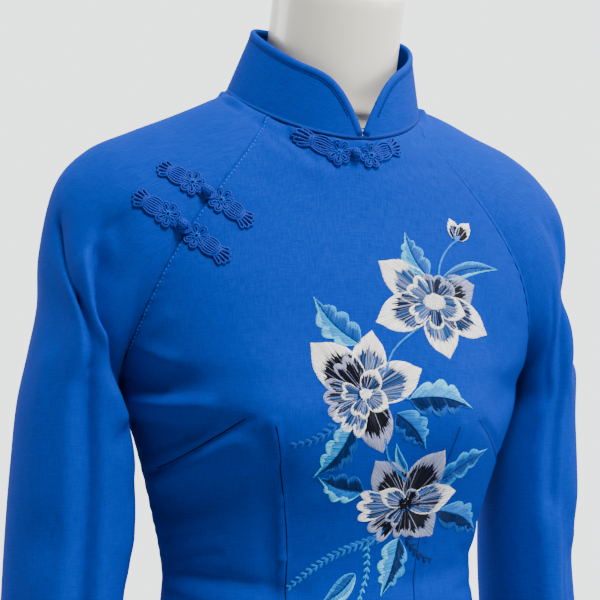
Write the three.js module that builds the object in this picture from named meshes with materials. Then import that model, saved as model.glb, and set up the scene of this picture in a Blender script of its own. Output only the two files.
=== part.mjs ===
// An ao dai on a limbless dress form with a stand.
// Millimetres, +Z up, the wearer faces -Y and has the right arm towards -X.
// The garment's tables count from the side neck point, where shoulder and collar meet;
// the group at the end lifts them to NECK_HEIGHT above the underside of the base.

import * as THREE from 'three';

// ---------- driving dimensions ----------
const NECK_HEIGHT = 1400; // side neck point above the floor
const CLOTH = 1.6; // crepe with its seam allowances, as one wall
const SEAM_GAP = 0.3; // between two sewn pieces
const HALF_PANEL = 115; // least length of cloth from the centre to the side seam, at the waist
const UNDERARM = 13; // row of FRONT and BACK where side seam and raglan seams meet
const NECK_ROW = 20; // last row of FRONT and BACK
const ARM_ROWS = 9; // rows of a sleeve below the underarm
const COLLAR_HEIGHT = 46;
const COLLAR_THICKNESS = 2.2; // interfaced, so it stands by itself
const COLLAR_OPENING = 5; // degrees that the V sits to the wearer's left of centre
const BINDING_RADIUS = 1.5;
const BASE_RADIUS = 170;
const BASE_THICKNESS = 14;
const POLE_RADIUS = 14;

// ---------- materials ----------
const BLUE = { color: 0x0d52b1, roughness: 0.75 };
const CORD_BLUE = { color: 0x114190, roughness: 0.6 };
const CREAM = { color: 0xd3d0c1, roughness: 0.3 };
const WHITE = { color: 0xeae9e2, roughness: 0.35 };
const METAL = { color: 0x9a9da2, roughness: 0.35, metalness: 1 };

const table = (columns, rows) => {
  const names = columns.split(' ');
  return rows.map((row) => Object.fromEntries(names.map((name, k) => [name, row[k]])));
};

// ---------- sizes of the neck ----------
const NECK = { halfWidth: 72, halfDepth: 71, y: 3, z: -18, slope: 26, lift: 12 };
const COLLAR_TOP = { halfWidth: 59, halfDepth: 55, y: -17, rise: 41.5 };
const radians = THREE.MathUtils.degToRad;

// The neck seam: angle 0 is the centre front, 90 degrees the wearer's left.
function neckPoint(angle) {
  const [s, c] = [Math.sin(angle), Math.cos(angle)];
  return new THREE.Vector3(
    NECK.halfWidth * s,
    NECK.y - NECK.halfDepth * c,
    NECK.z - NECK.slope * c + NECK.lift * s * s,
  );
}
const FRONT_CORNER = neckPoint(radians(52));
const BACK_CORNER = neckPoint(radians(128));
const SHOULDER_NECK = neckPoint(radians(90));

// ---------- the panels ----------
// Each row is a curve across a panel: its edge, its centre and how far round the body it turns.
const PANEL_COLUMNS = 'edgeX edgeY edgeZ centreY centreZ turn';
const FRONT = table(PANEL_COLUMNS, [
  [196, -62, -1270, -104, -1270, 48], // hem
  [194, -60, -1120, -104, -1120, 50],
  [190, -56, -960, -104, -960, 54],
  [184, -50, -820, -104, -820, 60],
  [173, -40, -700, -103, -700, 68],
  [161, -28, -610, -101, -610, 77], // hip
  [150, -16, -520, -96, -520, 85],
  [134, -5, -450, -87, -450, 90],
  [122, -1, -400, -79, -400, 90], // top of the slit
  [117, 0, -357, -75, -357, 90], // waist
  [124, 0, -315, -83, -318, 90],
  [137, 0, -270, -97, -275, 90],
  [149, 0, -238, -102, -244, 90],
  [155, 0, -218, -100, -222, 90], // underarm
  [154, -26, -200, -98, -206, 83], // raglan seam from here up
  [147, -48, -170, -93.5, -180, 75],
  [134, -60, -137, -88, -152, 69],
  [115, -62, -105, -81.5, -125, 63],
  [94, -60, -77, -75, -98, 58],
  [73, -53, -50, -70.5, -70, 54],
  [FRONT_CORNER.x, FRONT_CORNER.y, FRONT_CORNER.z, NECK.y - NECK.halfDepth, NECK.z - NECK.slope, 52],
]);
const BACK = table(PANEL_COLUMNS, [
  [196, 70, -1270, 112, -1270, 46], // hem
  [194, 68, -1120, 112, -1120, 48],
  [190, 64, -960, 113, -960, 52],
  [184, 56, -820, 114, -820, 58],
  [173, 44, -700, 115, -700, 66],
  [161, 30, -610, 115, -610, 76], // hip
  [150, 16, -520, 109, -520, 85],
  [134, 5, -450, 92, -450, 90],
  [122, 1, -400, 75, -400, 90], // top of the slit
  [117, 0, -357, 67, -357, 90], // waist
  [124, 0, -315, 74, -312, 90],
  [137, 0, -270, 86, -264, 90],
  [149, 0, -238, 91, -232, 90],
  [155, 0, -218, 93, -208, 90], // underarm
  [154, 40, -197, 95, -184, 82],
  [147, 64, -158, 95, -150, 74],
  [134, 74, -120, 92, -112, 68],
  [115, 76, -84, 87, -76, 62],
  [94, 70, -52, 82, -42, 58],
  [73, 60, -24, 76, -14, 54],
  [BACK_CORNER.x, BACK_CORNER.y, BACK_CORNER.z, NECK.y + NECK.halfDepth, NECK.z + NECK.slope, 52],
]);
const BUST = { x: 76, z: -246, height: 13, wide: 40, tall: 46 };

// ---------- the sleeves ----------
// Over the shoulder: the ridge, and how far the cloth turns from the ridge to each seam.
const RIDGE_COLUMNS = 'x y z turn';
const RIDGE_RIGHT = table(RIDGE_COLUMNS, [
  [211, 6, -128, 145],
  [201, 5, -80, 112],
  [179, 4, -54, 97],
  [148, 2, -39, 82],
  [119, 0, -27, 64],
  [94, -2, -16, 47],
  [SHOULDER_NECK.x, SHOULDER_NECK.y, SHOULDER_NECK.z, 38],
]);
const RIDGE_LEFT = table(RIDGE_COLUMNS, [
  [193, 6, -128, 145],
  [191, 5, -82, 112],
  [172, 4, -56, 97],
  [148, 2, -39, 82],
  [119, 0, -27, 64],
  [94, -2, -16, 47],
  [SHOULDER_NECK.x, SHOULDER_NECK.y, SHOULDER_NECK.z, 38],
]);
// Below it: an empty, flattened tube. Heights are of its inner and outer side.
const ARM_COLUMNS = 'x y innerZ outerZ halfWidth halfDepth';
const ARM_RIGHT = table(ARM_COLUMNS, [
  [204, -6, -640, -640, 33, 48], // cuff
  [203, -4, -590, -590, 34, 50],
  [200, -2, -520, -520, 36, 53],
  [197, 0, -450, -450, 38, 56],
  [194, 2, -380, -380, 40, 59],
  [190.5, 4, -325, -322, 41, 61],
  [188.5, 5, -284, -276, 40, 61],
  [188.5, 5, -254, -236, 36.5, 59],
  [186.5, 4, -233, -200, 31.5, 58],
  [183.5, 4, -218, -166, 28.5, 57], // underarm
]);
const ARM_LEFT = table(ARM_COLUMNS, [
  [199, 4, -640, -640, 31, 46], // cuff
  [197, 5, -590, -590, 31, 48],
  [189, 7, -520, -520, 32, 51],
  [181, 9, -450, -450, 33, 54],
  [175, 11, -380, -380, 32, 56],
  [173, 12, -325, -323, 30.5, 57],
  [173, 12, -284, -278, 28.5, 57],
  [175, 11, -254, -241, 25, 56],
  [177.5, 8, -233, -206, 22, 56],
  [176, 5, -218, -168, 21, 56], // underarm
]);

// ---------- the largest folds ----------
// Each runs from one place to another, and a negative depth is a ridge. Panels: x and z.
const PANEL_FOLD_COLUMNS = 'x0 z0 x1 z1 width depth';
const FRONT_FOLDS = table(PANEL_FOLD_COLUMNS, [
  [-150, -212, -104, -226, 12, 5], // under the right arm
  [150, -214, 112, -232, 12, 4],
  [-140, -262, -96, -250, 11, 3.5],
  [-128, -318, -60, -300, 14, 3], // under the bust
  [-122, -352, -40, -366, 9, 2], // waist
  [118, -350, 40, -362, 9, 2],
  [-96, -640, -112, -1270, 34, 9], // skirt
  [34, -700, 58, -1270, 38, -8],
  [128, -600, 140, -1270, 30, 8],
]);
const BACK_FOLDS = table(PANEL_FOLD_COLUMNS, [
  [-146, -206, -104, -226, 13, 5],
  [146, -206, 104, -228, 13, 4],
  [-108, -352, -30, -368, 10, 2.5],
  [108, -350, 30, -364, 10, 2.5],
  [0, -420, 0, -560, 20, -4],
  [-60, -700, -84, -1270, 36, 9], // skirt
  [22, -640, 10, -1270, 34, -8],
  [112, -620, 128, -1270, 32, 8],
]);
// Sleeves: share of the way from the ridge to a seam (front negative), and height.
const SLEEVE_FOLD_COLUMNS = 's0 z0 s1 z1 width depth';
const SLEEVE_GIRTH = 165; // half the way round, which turns a share into a length
const FOLDS_RIGHT = table(SLEEVE_FOLD_COLUMNS, [
  [-0.22, -120, -0.3, -330, 20, 9], // long trough down the arm
  [-0.3, -330, -0.2, -600, 22, 7],
  [-0.62, -118, -0.7, -205, 15, 8], // pocket before the seam
  [-0.72, -235, -0.8, -330, 14, 6],
  [0.42, -150, 0.5, -420, 22, 9],
  [0.75, -230, 0.66, -400, 14, 5],
]);
const FOLDS_LEFT = table(SLEEVE_FOLD_COLUMNS, [
  [-0.34, -146, -0.1, -170, 15, 9], // pinch under the shoulder
  [-0.5, -110, -0.52, -300, 17, 8],
  [-0.3, -330, -0.42, -560, 20, 6],
  [-0.14, -210, -0.24, -330, 14, -5],
  [0.38, -140, 0.46, -430, 22, 9],
  [0.74, -240, 0.62, -400, 14, 5],
]);

// ---------- the dress form ----------
// Level sections from the neck down, each tilted forwards by its slope; power 2 is an ellipse.
const FORM = table('z halfWidth front back slope power', [
  [70.5, 49, -79.7, 12.3, 0.364, 2],
  [46, 49, -71, 21, 0.364, 2],
  [20, 49.5, -61.5, 31, 0.36, 2],
  [2, 51, -55, 41, 0.3, 2],
  [-12, 57, -52, 50, 0.2, 1.9],
  [-23, 80, -48, 54, 0.1, 1.6],
  [-32, 112, -46, 58, 0.05, 1.4],
  [-39.3, 147, -46, 62, 0, 1.3],
  [-54, 164, -50, 66, 0, 1.4],
  [-72, 174, -56, 70, 0, 1.5],
  [-96, 176, -62, 76, 0, 1.6],
  [-125, 168, -72, 82, 0, 1.8],
  [-155, 154, -82, 86, 0, 2],
  [-185, 145, -90, 86, 0, 2],
  [-215, 143, -96, 84, 0, 2.1],
  [-245, 137, -96, 82, 0, 2.1],
  [-280, 127, -88, 76, 0, 2],
  [-318, 117, -76, 66, 0, 2],
  [-357, 110, -68, 60, 0, 2],
  [-400, 115, -71, 68, 0, 2],
  [-450, 127, -79, 84, 0, 2],
  [-520, 143, -88, 100, 0, 2],
  [-600, 152, -92, 105, 0, 2],
  [-650, 150, -90, 102, 0, 2],
  [-660, 144, -84, 96, 0, 2],
]);
const FORM_COLUMNS = 32;
const NECK_CAP = { radius: 46, thickness: 3 };

// ---------- frogs ----------
// Where each half's flower and its finger tips lie on the cloth, seen from the front.
const FROGS = table('name flowerX flowerZ tipX tipZ', [
  ['neck_right', -12, -56, -44, -43],
  ['neck_left', 12, -57, 37, -47.5],
  ['upper_outer', -117, -82, -140, -70],
  ['upper_inner', -97.5, -94, -76.5, -111.5],
  ['lower_outer', -135, -105, -158, -91],
  ['lower_inner', -115, -120, -93.5, -137],
]);
const FROG = { flowerRadius: 8, petals: 7, waist: 2.6, hand: 6.5, thickness: 2 };
const KNOT_RADIUS = 3.4;

// ---------- reading the tables ----------
const clamp = THREE.MathUtils.clamp;

// A value between stations k, k+1: a smooth curve through the two stations each side.
function smooth(before, a, b, after, f) {
  return 0.5 * (2 * a + (b - before) * f + (2 * before - 5 * a + 4 * b - after) * f ** 2
    + (3 * a - before - 3 * b + after) * f ** 3);
}

// Reads every column of a table at a row number that need not be whole.
// With a corner given, the curve turns sharply there.
function readRow(rows, at, corner = -1) {
  const last = rows.length - 1;
  const t = clamp(at, 0, last);
  const k = Math.min(Math.floor(t), last - 1);
  const [a, b] = [rows[k], rows[k + 1]];
  const row = {};
  for (const name of Object.keys(a)) {
    const before = k > 0 && k !== corner ? rows[k - 1][name] : 2 * a[name] - b[name];
    const after = k + 2 <= last && k + 1 !== corner ? rows[k + 2][name] : 2 * b[name] - a[name];
    row[name] = smooth(before, a[name], b[name], after, t - k);
  }
  return row;
}

// How deep the folds press the cloth in at a place given in millimetres.
function foldDepth(folds, across, height, lengthOf = 1) {
  let depth = 0;
  for (const fold of folds) {
    const [ax, az] = [(fold.x0 ?? fold.s0) * lengthOf, fold.z0];
    const [bx, bz] = [(fold.x1 ?? fold.s1) * lengthOf, fold.z1];
    const along = ((across - ax) * (bx - ax) + (height - az) * (bz - az)) / ((bx - ax) ** 2 + (bz - az) ** 2);
    const t = clamp(along, 0, 1);
    const away = Math.hypot(across - ax - t * (bx - ax), height - az - t * (bz - az));
    depth += fold.depth * Math.exp(-((away / fold.width) ** 2));
  }
  return depth;
}

// The unit normal of a surface of two parameters, by small steps to either side.
function normalOf(surface, a, b) {
  const step = 1e-3;
  const du = surface(a, b + step).sub(surface(a, b - step));
  const dv = surface(a + step, b).sub(surface(a - step, b));
  return du.cross(dv).normalize();
}

// ---------- surfaces: the middle of the cloth ----------
const SIDE_TURN = radians(70); // how far the cloth faces sideways at a panel's edge
// Folds die out towards the seams, so that neighbouring pieces still meet.
const freeOfSeam = (share) => 1 - share ** 6;

const edgeOf = (rows, row, corner) => {
  const r = readRow(rows, row, corner);
  return new THREE.Vector3(r.edgeX, r.edgeY, r.edgeZ);
};
const seamAt = (rows, row) => edgeOf(rows, row, UNDERARM);

// The seam turns a corner at the underarm, and the cloth away from it stays smooth.
function plainPanel(rows, row, share) {
  const r = readRow(rows, row);
  const turn = radians(r.turn);
  const across = Math.sin(share * turn) / Math.sin(turn);
  const round = (1 - Math.cos(share * turn)) / (1 - Math.cos(turn));
  const p = new THREE.Vector3(
    r.edgeX * across,
    r.centreY + (r.edgeY - r.centreY) * round,
    r.centreZ + (r.edgeZ - r.centreZ) * round,
  );
  const toSeam = seamAt(rows, row).sub(edgeOf(rows, row)).multiplyScalar(share ** 8);
  toSeam.x *= Math.sign(share);
  return p.add(toSeam);
}

function frontSurface(row, share) {
  const p = plainPanel(FRONT, row, share);
  const away = (x) => Math.exp(-(((p.x - x) / BUST.wide) ** 2));
  p.y -= BUST.height * (away(BUST.x) + away(-BUST.x)) * Math.exp(-(((p.z - BUST.z) / BUST.tall) ** 2));
  const depth = foldDepth(FRONT_FOLDS, p.x, p.z) * freeOfSeam(share);
  p.y += depth * Math.cos(share * SIDE_TURN);
  p.x -= depth * Math.sin(share * SIDE_TURN);
  return p;
}

function backSurface(row, share) {
  const p = plainPanel(BACK, row, share);
  const depth = foldDepth(BACK_FOLDS, p.x, p.z) * freeOfSeam(share);
  p.y -= depth * Math.cos(share * SIDE_TURN);
  p.x -= depth * Math.sin(share * SIDE_TURN);
  return p;
}

// One ring of a sleeve: station 0 is the underarm, above it the ring is open between the two seams.
function sleeveRing(ridge, arm, station, share) {
  if (station <= 0) {
    const r = arm[station + ARM_ROWS];
    const angle = share * Math.PI;
    return new THREE.Vector3(
      r.x + r.halfWidth * Math.cos(angle),
      r.y + r.halfDepth * Math.sin(angle),
      (r.innerZ + r.outerZ) / 2 + ((r.outerZ - r.innerZ) / 2) * Math.cos(angle),
    );
  }
  const top = ridge[station - 1];
  const turn = radians(top.turn);
  const front = edgeOf(FRONT, station + UNDERARM);
  const back = edgeOf(BACK, station + UNDERARM);
  const crown = new THREE.Vector3(top.x, top.y, top.z);
  const chord = back.clone().sub(front).divideScalar(2);
  const rise = crown.clone().sub(front).sub(chord);
  return crown
    .addScaledVector(chord, Math.sin(share * turn) / Math.sin(turn))
    .addScaledVector(rise, -(1 - Math.cos(share * turn)) / (1 - Math.cos(turn)));
}

const SLEEVE_STATIONS = NECK_ROW - UNDERARM;

function sleeveLoft(ridge, arm, at, share) {
  const t = clamp(at, -ARM_ROWS, SLEEVE_STATIONS);
  const k = Math.min(Math.floor(t), SLEEVE_STATIONS - 1);
  const ring = (station) => sleeveRing(ridge, arm, station, share);
  const [a, b] = [ring(k), ring(k + 1)];
  const before = k > -ARM_ROWS ? ring(k - 1) : a.clone().multiplyScalar(2).sub(b);
  const after = k + 2 <= SLEEVE_STATIONS ? ring(k + 2) : b.clone().multiplyScalar(2).sub(a);
  const blend = (axis) => smooth(before[axis], a[axis], b[axis], after[axis], t - k);
  return new THREE.Vector3(blend('x'), blend('y'), blend('z'));
}

// Clear of the panels along the raglan seams; more at the underarm, where the cloth doubles back.
const UNDERARM_GAP = 2.7;
const RAGLAN_GAP = 0.75;
const raglanGap = (at) => RAGLAN_GAP + (UNDERARM_GAP - RAGLAN_GAP) * Math.exp(-at * at);

function sleeveSurface(sleeve, at, share) {
  const p = sleeveLoft(sleeve.ridge, sleeve.arm, at, share);
  const weight = Math.abs(share) ** 8;
  if (at > 0) {
    const seam = seamAt(share < 0 ? FRONT : BACK, at + UNDERARM);
    const loose = sleeveLoft(sleeve.ridge, sleeve.arm, at, Math.sign(share) || 1);
    p.addScaledVector(seam.clone().sub(loose), weight);
    const outwards = sleeveLoft(sleeve.ridge, sleeve.arm, at, 0).sub(seam).normalize();
    p.addScaledVector(outwards, raglanGap(at) * weight);
  } else if (at > -1) {
    const toSeam = seamAt(FRONT, UNDERARM).sub(sleeveLoft(sleeve.ridge, sleeve.arm, 0, 1));
    toSeam.x += UNDERARM_GAP;
    p.addScaledVector(toSeam, weight * (1 + at));
  }
  const depth = foldDepth(sleeve.folds, share * SLEEVE_GIRTH, p.z, SLEEVE_GIRTH) * freeOfSeam(share);
  const outwards = share * Math.PI;
  const open = Math.max(0, at) / SLEEVE_STATIONS;
  p.x -= depth * Math.cos(outwards) * (1 - open);
  p.y -= depth * Math.sin(outwards);
  p.z -= depth * open;
  p.x *= sleeve.side;
  return p;
}
const SLEEVE_RIGHT = { side: -1, ridge: RIDGE_RIGHT, arm: ARM_RIGHT, folds: FOLDS_RIGHT };
const SLEEVE_LEFT = { side: 1, ridge: RIDGE_LEFT, arm: ARM_LEFT, folds: FOLDS_LEFT };

// The collar's rounded corners drop to the V over this many degrees.
const CORNER_TURN = 40;
const CORNER_HEIGHT = 4;
const COLLAR_LIFT = 1.4; // clear of the neck seam

function collarHeight(angle) {
  const fromV = Math.min(Math.abs(angle), 2 * Math.PI - Math.abs(angle));
  const share = Math.min(fromV / radians(CORNER_TURN), 1);
  return CORNER_HEIGHT + (COLLAR_HEIGHT - CORNER_HEIGHT) * (1 - (1 - share) ** 3);
}

// turn runs from one side of the V round the back to the other; height is up the collar.
function collarSurface(height, turn) {
  const angle = turn + radians(COLLAR_OPENING);
  const foot = neckPoint(angle);
  const top = new THREE.Vector3(
    COLLAR_TOP.halfWidth * Math.sin(angle),
    COLLAR_TOP.y - COLLAR_TOP.halfDepth * Math.cos(angle),
    foot.z + COLLAR_TOP.rise,
  );
  return foot.lerp(top, height / COLLAR_HEIGHT);
}

// The place on the front or on the right sleeve that lies at x and z, seen from the front.
function clothAt(x, z) {
  let row = UNDERARM;
  while (row < NECK_ROW && edgeOf(FRONT, row).z < z) row += 0.1;
  const onFront = Math.abs(x) < edgeOf(FRONT, row).x || row >= NECK_ROW;
  const surface = onFront
    ? (a, b) => plainPanel(FRONT, a + UNDERARM, b)
    : (a, b) => sleeveSurface(SLEEVE_RIGHT, a, b);
  let [a, b] = onFront ? [clamp(row, UNDERARM, NECK_ROW - 0.5) - UNDERARM, x / 140] : [row - UNDERARM, -0.8];
  const step = 1e-3;
  for (let turn = 0; turn < 14; turn += 1) {
    const p = surface(a, b);
    const pa = surface(a + step, b).sub(p).divideScalar(step);
    const pb = surface(a, b + step).sub(p).divideScalar(step);
    const area = pa.x * pb.z - pa.z * pb.x;
    const [dx, dz] = [x - p.x, z - p.z];
    a = clamp(a + clamp((dx * pb.z - dz * pb.x) / area, -0.5, 0.5), 0, SLEEVE_STATIONS - 2 * step);
    b = clamp(b + clamp((pa.x * dz - pa.z * dx) / area, -0.3, 0.3), -1, 1);
  }
  const normal = normalOf(surface, a, b);
  return { point: surface(a, b), normal: normal.y < 0 ? normal : normal.negate() };
}

// ---------- solids ----------
const group = new THREE.Group();
group.position.z = NECK_HEIGHT;

function addMesh(name, finish, geometry) {
  geometry.computeVertexNormals();
  const mesh = new THREE.Mesh(geometry, new THREE.MeshStandardMaterial(finish));
  mesh.name = name;
  group.add(mesh);
  return mesh;
}

// Turns every face round if together they enclose a negative volume.
function facingOut(points, faces) {
  let volume = 0;
  for (const [a, b, c] of faces) {
    volume += points[a].dot(points[b].clone().cross(points[c]));
  }
  return volume < 0 ? faces.map(([a, b, c]) => [a, c, b]) : faces;
}

function solidFrom(points, faces) {
  const geometry = new THREE.BufferGeometry();
  geometry.setAttribute('position', new THREE.Float32BufferAttribute(points.flatMap((p) => p.toArray()), 3));
  geometry.setIndex(facingOut(points, faces).flat());
  return geometry;
}

// A closed wall of even thickness about a surface, sampled at the given rows and columns.
// A row that isRing says is closed joins its last column to its first.
function wall(rows, columns, surface, thickness = CLOTH, isRing = () => false) {
  const [R, C] = [rows.length, columns.length];
  const middle = rows.map((row) => columns.map((column) => surface(row, column)));
  const at = (i, j) => middle[clamp(i, 0, R - 1)][isRing(rows[i]) ? (j + C - 1) % (C - 1) : clamp(j, 0, C - 1)];
  const points = [];
  for (const face of [1, -1]) {
    for (let i = 0; i < R; i += 1) {
      for (let j = 0; j < C; j += 1) {
        const across = at(i, j + 1).clone().sub(at(i, j - 1));
        const along = middle[Math.min(i + 1, R - 1)][j].clone().sub(middle[Math.max(i - 1, 0)][j]);
        const normal = across.cross(along).normalize();
        points.push(middle[i][j].clone().addScaledVector(normal, (face * thickness) / 2));
      }
    }
  }
  const index = (face, i, j) => (face * R + i) * C + (isRing(rows[i]) && j === C - 1 ? 0 : j);
  const faces = [];
  const quad = (a, b, c, d) => {
    for (const triangle of [[a, b, c], [a, c, d]]) {
      if (new Set(triangle).size === 3) faces.push(triangle);
    }
  };
  for (let i = 0; i < R - 1; i += 1) {
    for (let j = 0; j < C - 1; j += 1) {
      quad(index(0, i, j), index(0, i, j + 1), index(0, i + 1, j + 1), index(0, i + 1, j));
      quad(index(1, i, j), index(1, i + 1, j), index(1, i + 1, j + 1), index(1, i, j + 1));
    }
    if (!(isRing(rows[i]) && isRing(rows[i + 1]))) {
      quad(index(0, i, 0), index(0, i + 1, 0), index(1, i + 1, 0), index(1, i, 0));
      quad(index(0, i + 1, C - 1), index(0, i, C - 1), index(1, i, C - 1), index(1, i + 1, C - 1));
    }
  }
  for (let j = 0; j < C - 1; j += 1) {
    quad(index(0, 0, j + 1), index(0, 0, j), index(1, 0, j), index(1, 0, j + 1));
    quad(index(0, R - 1, j), index(0, R - 1, j + 1), index(1, R - 1, j + 1), index(1, R - 1, j));
  }
  return solidFrom(points, faces);
}

// A closed solid through rings of equal point count, with a fan at each end.
function loftSolid(rings) {
  const C = rings[0].length;
  const middle = (ring) => ring.reduce((sum, p) => sum.add(p), new THREE.Vector3()).divideScalar(C);
  const points = [...rings.flat(), middle(rings[0]), middle(rings.at(-1))];
  const [first, last] = [points.length - 2, points.length - 1];
  const faces = [];
  for (let j = 0; j < C; j += 1) {
    const next = (j + 1) % C;
    for (let i = 0; i < rings.length - 1; i += 1) {
      faces.push([i * C + j, i * C + next, (i + 1) * C + next]);
      faces.push([i * C + j, (i + 1) * C + next, (i + 1) * C + j]);
    }
    faces.push([first, next, j]);
    faces.push([last, (rings.length - 1) * C + j, (rings.length - 1) * C + next]);
  }
  return solidFrom(points, faces);
}

// A round cord through points, with flat ends.
function cord(points, radius, steps, sides = 6) {
  const outline = new THREE.Shape();
  for (let k = 0; k < sides; k += 1) {
    const angle = (k / sides) * 2 * Math.PI;
    const [x, y] = [radius * Math.cos(angle), radius * Math.sin(angle)];
    if (k) outline.lineTo(x, y);
    else outline.moveTo(x, y);
  }
  return new THREE.ExtrudeGeometry(outline, { steps, extrudePath: new THREE.CatmullRomCurve3(points) });
}

// Evenly spaced numbers from first to last.
const spread = (first, last, count) => Array.from({ length: count }, (_, k) => first + ((last - first) * k) / (count - 1));

// ---------- front and back ----------
const INSET = SEAM_GAP / 2 / HALF_PANEL;
const NECK_INSET = 0.008; // share of a row
const PANEL_ROWS = [
  ...spread(0, 5, 8),
  ...spread(5.7, 9, 7),
  ...spread(9.5, UNDERARM, 10),
  ...spread(UNDERARM + 0.5, NECK_ROW - NECK_INSET, 12),
];
const across = (count) => spread(-1 + INSET, 1 - INSET, count);
addMesh('front_panel', BLUE, wall(PANEL_ROWS, across(25), frontSurface));
addMesh('back_panel', BLUE, wall(PANEL_ROWS.filter((_, k) => k !== 2 && k !== 4), across(19), backSurface));

// ---------- sleeves ----------
const SLEEVE_ROWS = [
  ...spread(-ARM_ROWS, -4, 8),
  ...spread(-3.3, 0, 6),
  ...spread(0.5, SLEEVE_STATIONS - NECK_INSET, 12),
];
for (const [name, sleeve] of [['sleeve_right', SLEEVE_RIGHT], ['sleeve_left', SLEEVE_LEFT]]) {
  const surface = (at, share) => sleeveSurface(sleeve, at, share);
  addMesh(name, BLUE, wall(SLEEVE_ROWS, spread(-1, 1, 21), surface, CLOTH, (at) => at <= 0));
}

// ---------- collar and its bound edge ----------
const V_GAP = radians(1.2); // each side of the opening
const BINDING_V_GAP = radians(2.9); // the two ends of the round edge lie side by side
const CORNER_CROWDING = radians(9); // stations stand closer together at the corners
const collarTurns = (count, gap = V_GAP) => spread(gap, 2 * Math.PI - gap, count).map((turn, k) => {
  const share = k / (count - 1);
  return turn - CORNER_CROWDING * Math.sin(2 * Math.PI * share);
});
const collarAt = (share, turn) => collarSurface(COLLAR_LIFT + share * (collarHeight(turn) - COLLAR_LIFT), turn);
addMesh('collar', BLUE, wall(spread(0, 1, 4), collarTurns(43), collarAt, COLLAR_THICKNESS));
const CURVE_ALLOWANCE = 0.2; // where flat facets of two curved pieces face each other
const BINDING_RISE = BINDING_RADIUS + SEAM_GAP + CURVE_ALLOWANCE;
const bindingPath = collarTurns(41, BINDING_V_GAP).map((turn) => {
  const edge = collarSurface(collarHeight(turn), turn);
  const up = edge.clone().sub(collarSurface(collarHeight(turn) - 5, turn)).normalize();
  const step = radians(1);
  const along = collarSurface(collarHeight(turn + step), turn + step).sub(edge).normalize();
  const outwards = up.addScaledVector(along, -up.dot(along)).normalize();
  return edge.addScaledVector(outwards, BINDING_RISE);
});
addMesh('collar_binding', BLUE, cord(bindingPath, BINDING_RADIUS, 64));

// ---------- frogs: a flower of cord loops, a waist and a hand of finger loops ----------
function frogHalf({ flowerX, flowerZ, tipX, tipZ }) {
  const length = Math.hypot(tipX - flowerX, tipZ - flowerZ);
  const [dx, dz] = [(tipX - flowerX) / length, (tipZ - flowerZ) / length];
  const halfWidth = (t) => {
    const flower = Math.sqrt(Math.max(0, 1 - (t / FROG.flowerRadius) ** 2)) * FROG.flowerRadius;
    const hand = FROG.waist + (FROG.hand - FROG.waist) * clamp((t - FROG.flowerRadius) / (0.5 * length), 0, 1);
    const end = Math.sqrt(clamp((length - t) / 4, 0.15, 1));
    return t < FROG.flowerRadius - 1 ? Math.max(flower, 1.5) : Math.max(flower, hand * end);
  };
  const lift = CLOTH / 2 + SEAM_GAP + FROG.thickness / 2 + 2 * CURVE_ALLOWANCE;
  const surface = (t, share) => {
    const w = halfWidth(t) * share;
    const { point, normal } = clothAt(flowerX + dx * t - dz * w, flowerZ + dz * t + dx * w);
    return point.addScaledVector(normal, lift);
  };
  return wall(spread(-FROG.flowerRadius + 0.3, length, 15), spread(-1, 1, 4), surface, FROG.thickness);
}
for (const frog of FROGS) {
  addMesh(`frog_${frog.name}`, CORD_BLUE, frogHalf(frog));
}
const KNOT_LIFT = 0.3; // it rides on the loop that it closes
for (let k = 0; k < FROGS.length; k += 2) {
  const [a, b] = [FROGS[k], FROGS[k + 1]];
  const { point, normal } = clothAt((a.flowerX + b.flowerX) / 2, (a.flowerZ + b.flowerZ) / 2);
  const knot = addMesh(`knot_${a.name.split('_')[0]}`, CORD_BLUE, new THREE.SphereGeometry(KNOT_RADIUS, 10, 7));
  knot.position.copy(point.addScaledVector(normal, CLOTH / 2 + SEAM_GAP + KNOT_RADIUS + KNOT_LIFT));
}

// ---------- hook and eye in the V ----------
const WIRE_RADIUS = 0.5;
const V_BACK = 3; // behind the collar's middle, on its inner face
const vPoint = collarSurface(CORNER_HEIGHT + 6, 0).add(new THREE.Vector3(0, V_BACK, 0));
const hookPath = [[-6, 0, 0], [-2.5, 0, 0.2], [1.6, 0, 0.2], [2.2, 1.2, 0.2], [0.8, 1.8, 0.2]];
const eyePath = [[6.6, 0, 1.9], [4.4, 0, 1.9], [3.2, 0, 0.2], [4.4, 0, -1.5], [6.6, 0, -1.5]];
for (const [name, path] of [['collar_hook', hookPath], ['collar_eye', eyePath]]) {
  const points = path.map(([x, y, z]) => vPoint.clone().add(new THREE.Vector3(x, y, z)));
  addMesh(name, METAL, cord(points, WIRE_RADIUS, 10));
}

// ---------- dress form ----------
function formRing(row, inset = 0) {
  const middle = (row.front + row.back) / 2;
  const depth = (row.back - row.front) / 2 - inset;
  return Array.from({ length: FORM_COLUMNS }, (_, k) => {
    const angle = (k / FORM_COLUMNS) * 2 * Math.PI;
    const [s, c] = [Math.sin(angle), Math.cos(angle)];
    const bulge = (Math.abs(s) ** row.power + Math.abs(c) ** row.power) ** (-1 / row.power);
    const y = -c * bulge * depth;
    return new THREE.Vector3(s * bulge * (row.halfWidth - inset), middle + y, row.z + row.slope * y);
  });
}
addMesh('form_torso', CREAM, loftSolid(FORM.map((row) => formRing(row))));
const capNormal = new THREE.Vector3(0, -FORM[0].slope, 1).normalize();
const capInset = FORM[0].halfWidth - NECK_CAP.radius;
const capRing = (rise, inset) => formRing(FORM[0], inset).map((p) => p.addScaledVector(capNormal, rise));
addMesh('form_neck_cap', WHITE, loftSolid([
  capRing(SEAM_GAP, capInset),
  capRing(SEAM_GAP + NECK_CAP.thickness * 0.6, capInset),
  capRing(SEAM_GAP + NECK_CAP.thickness, capInset + 3),
]));

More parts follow.
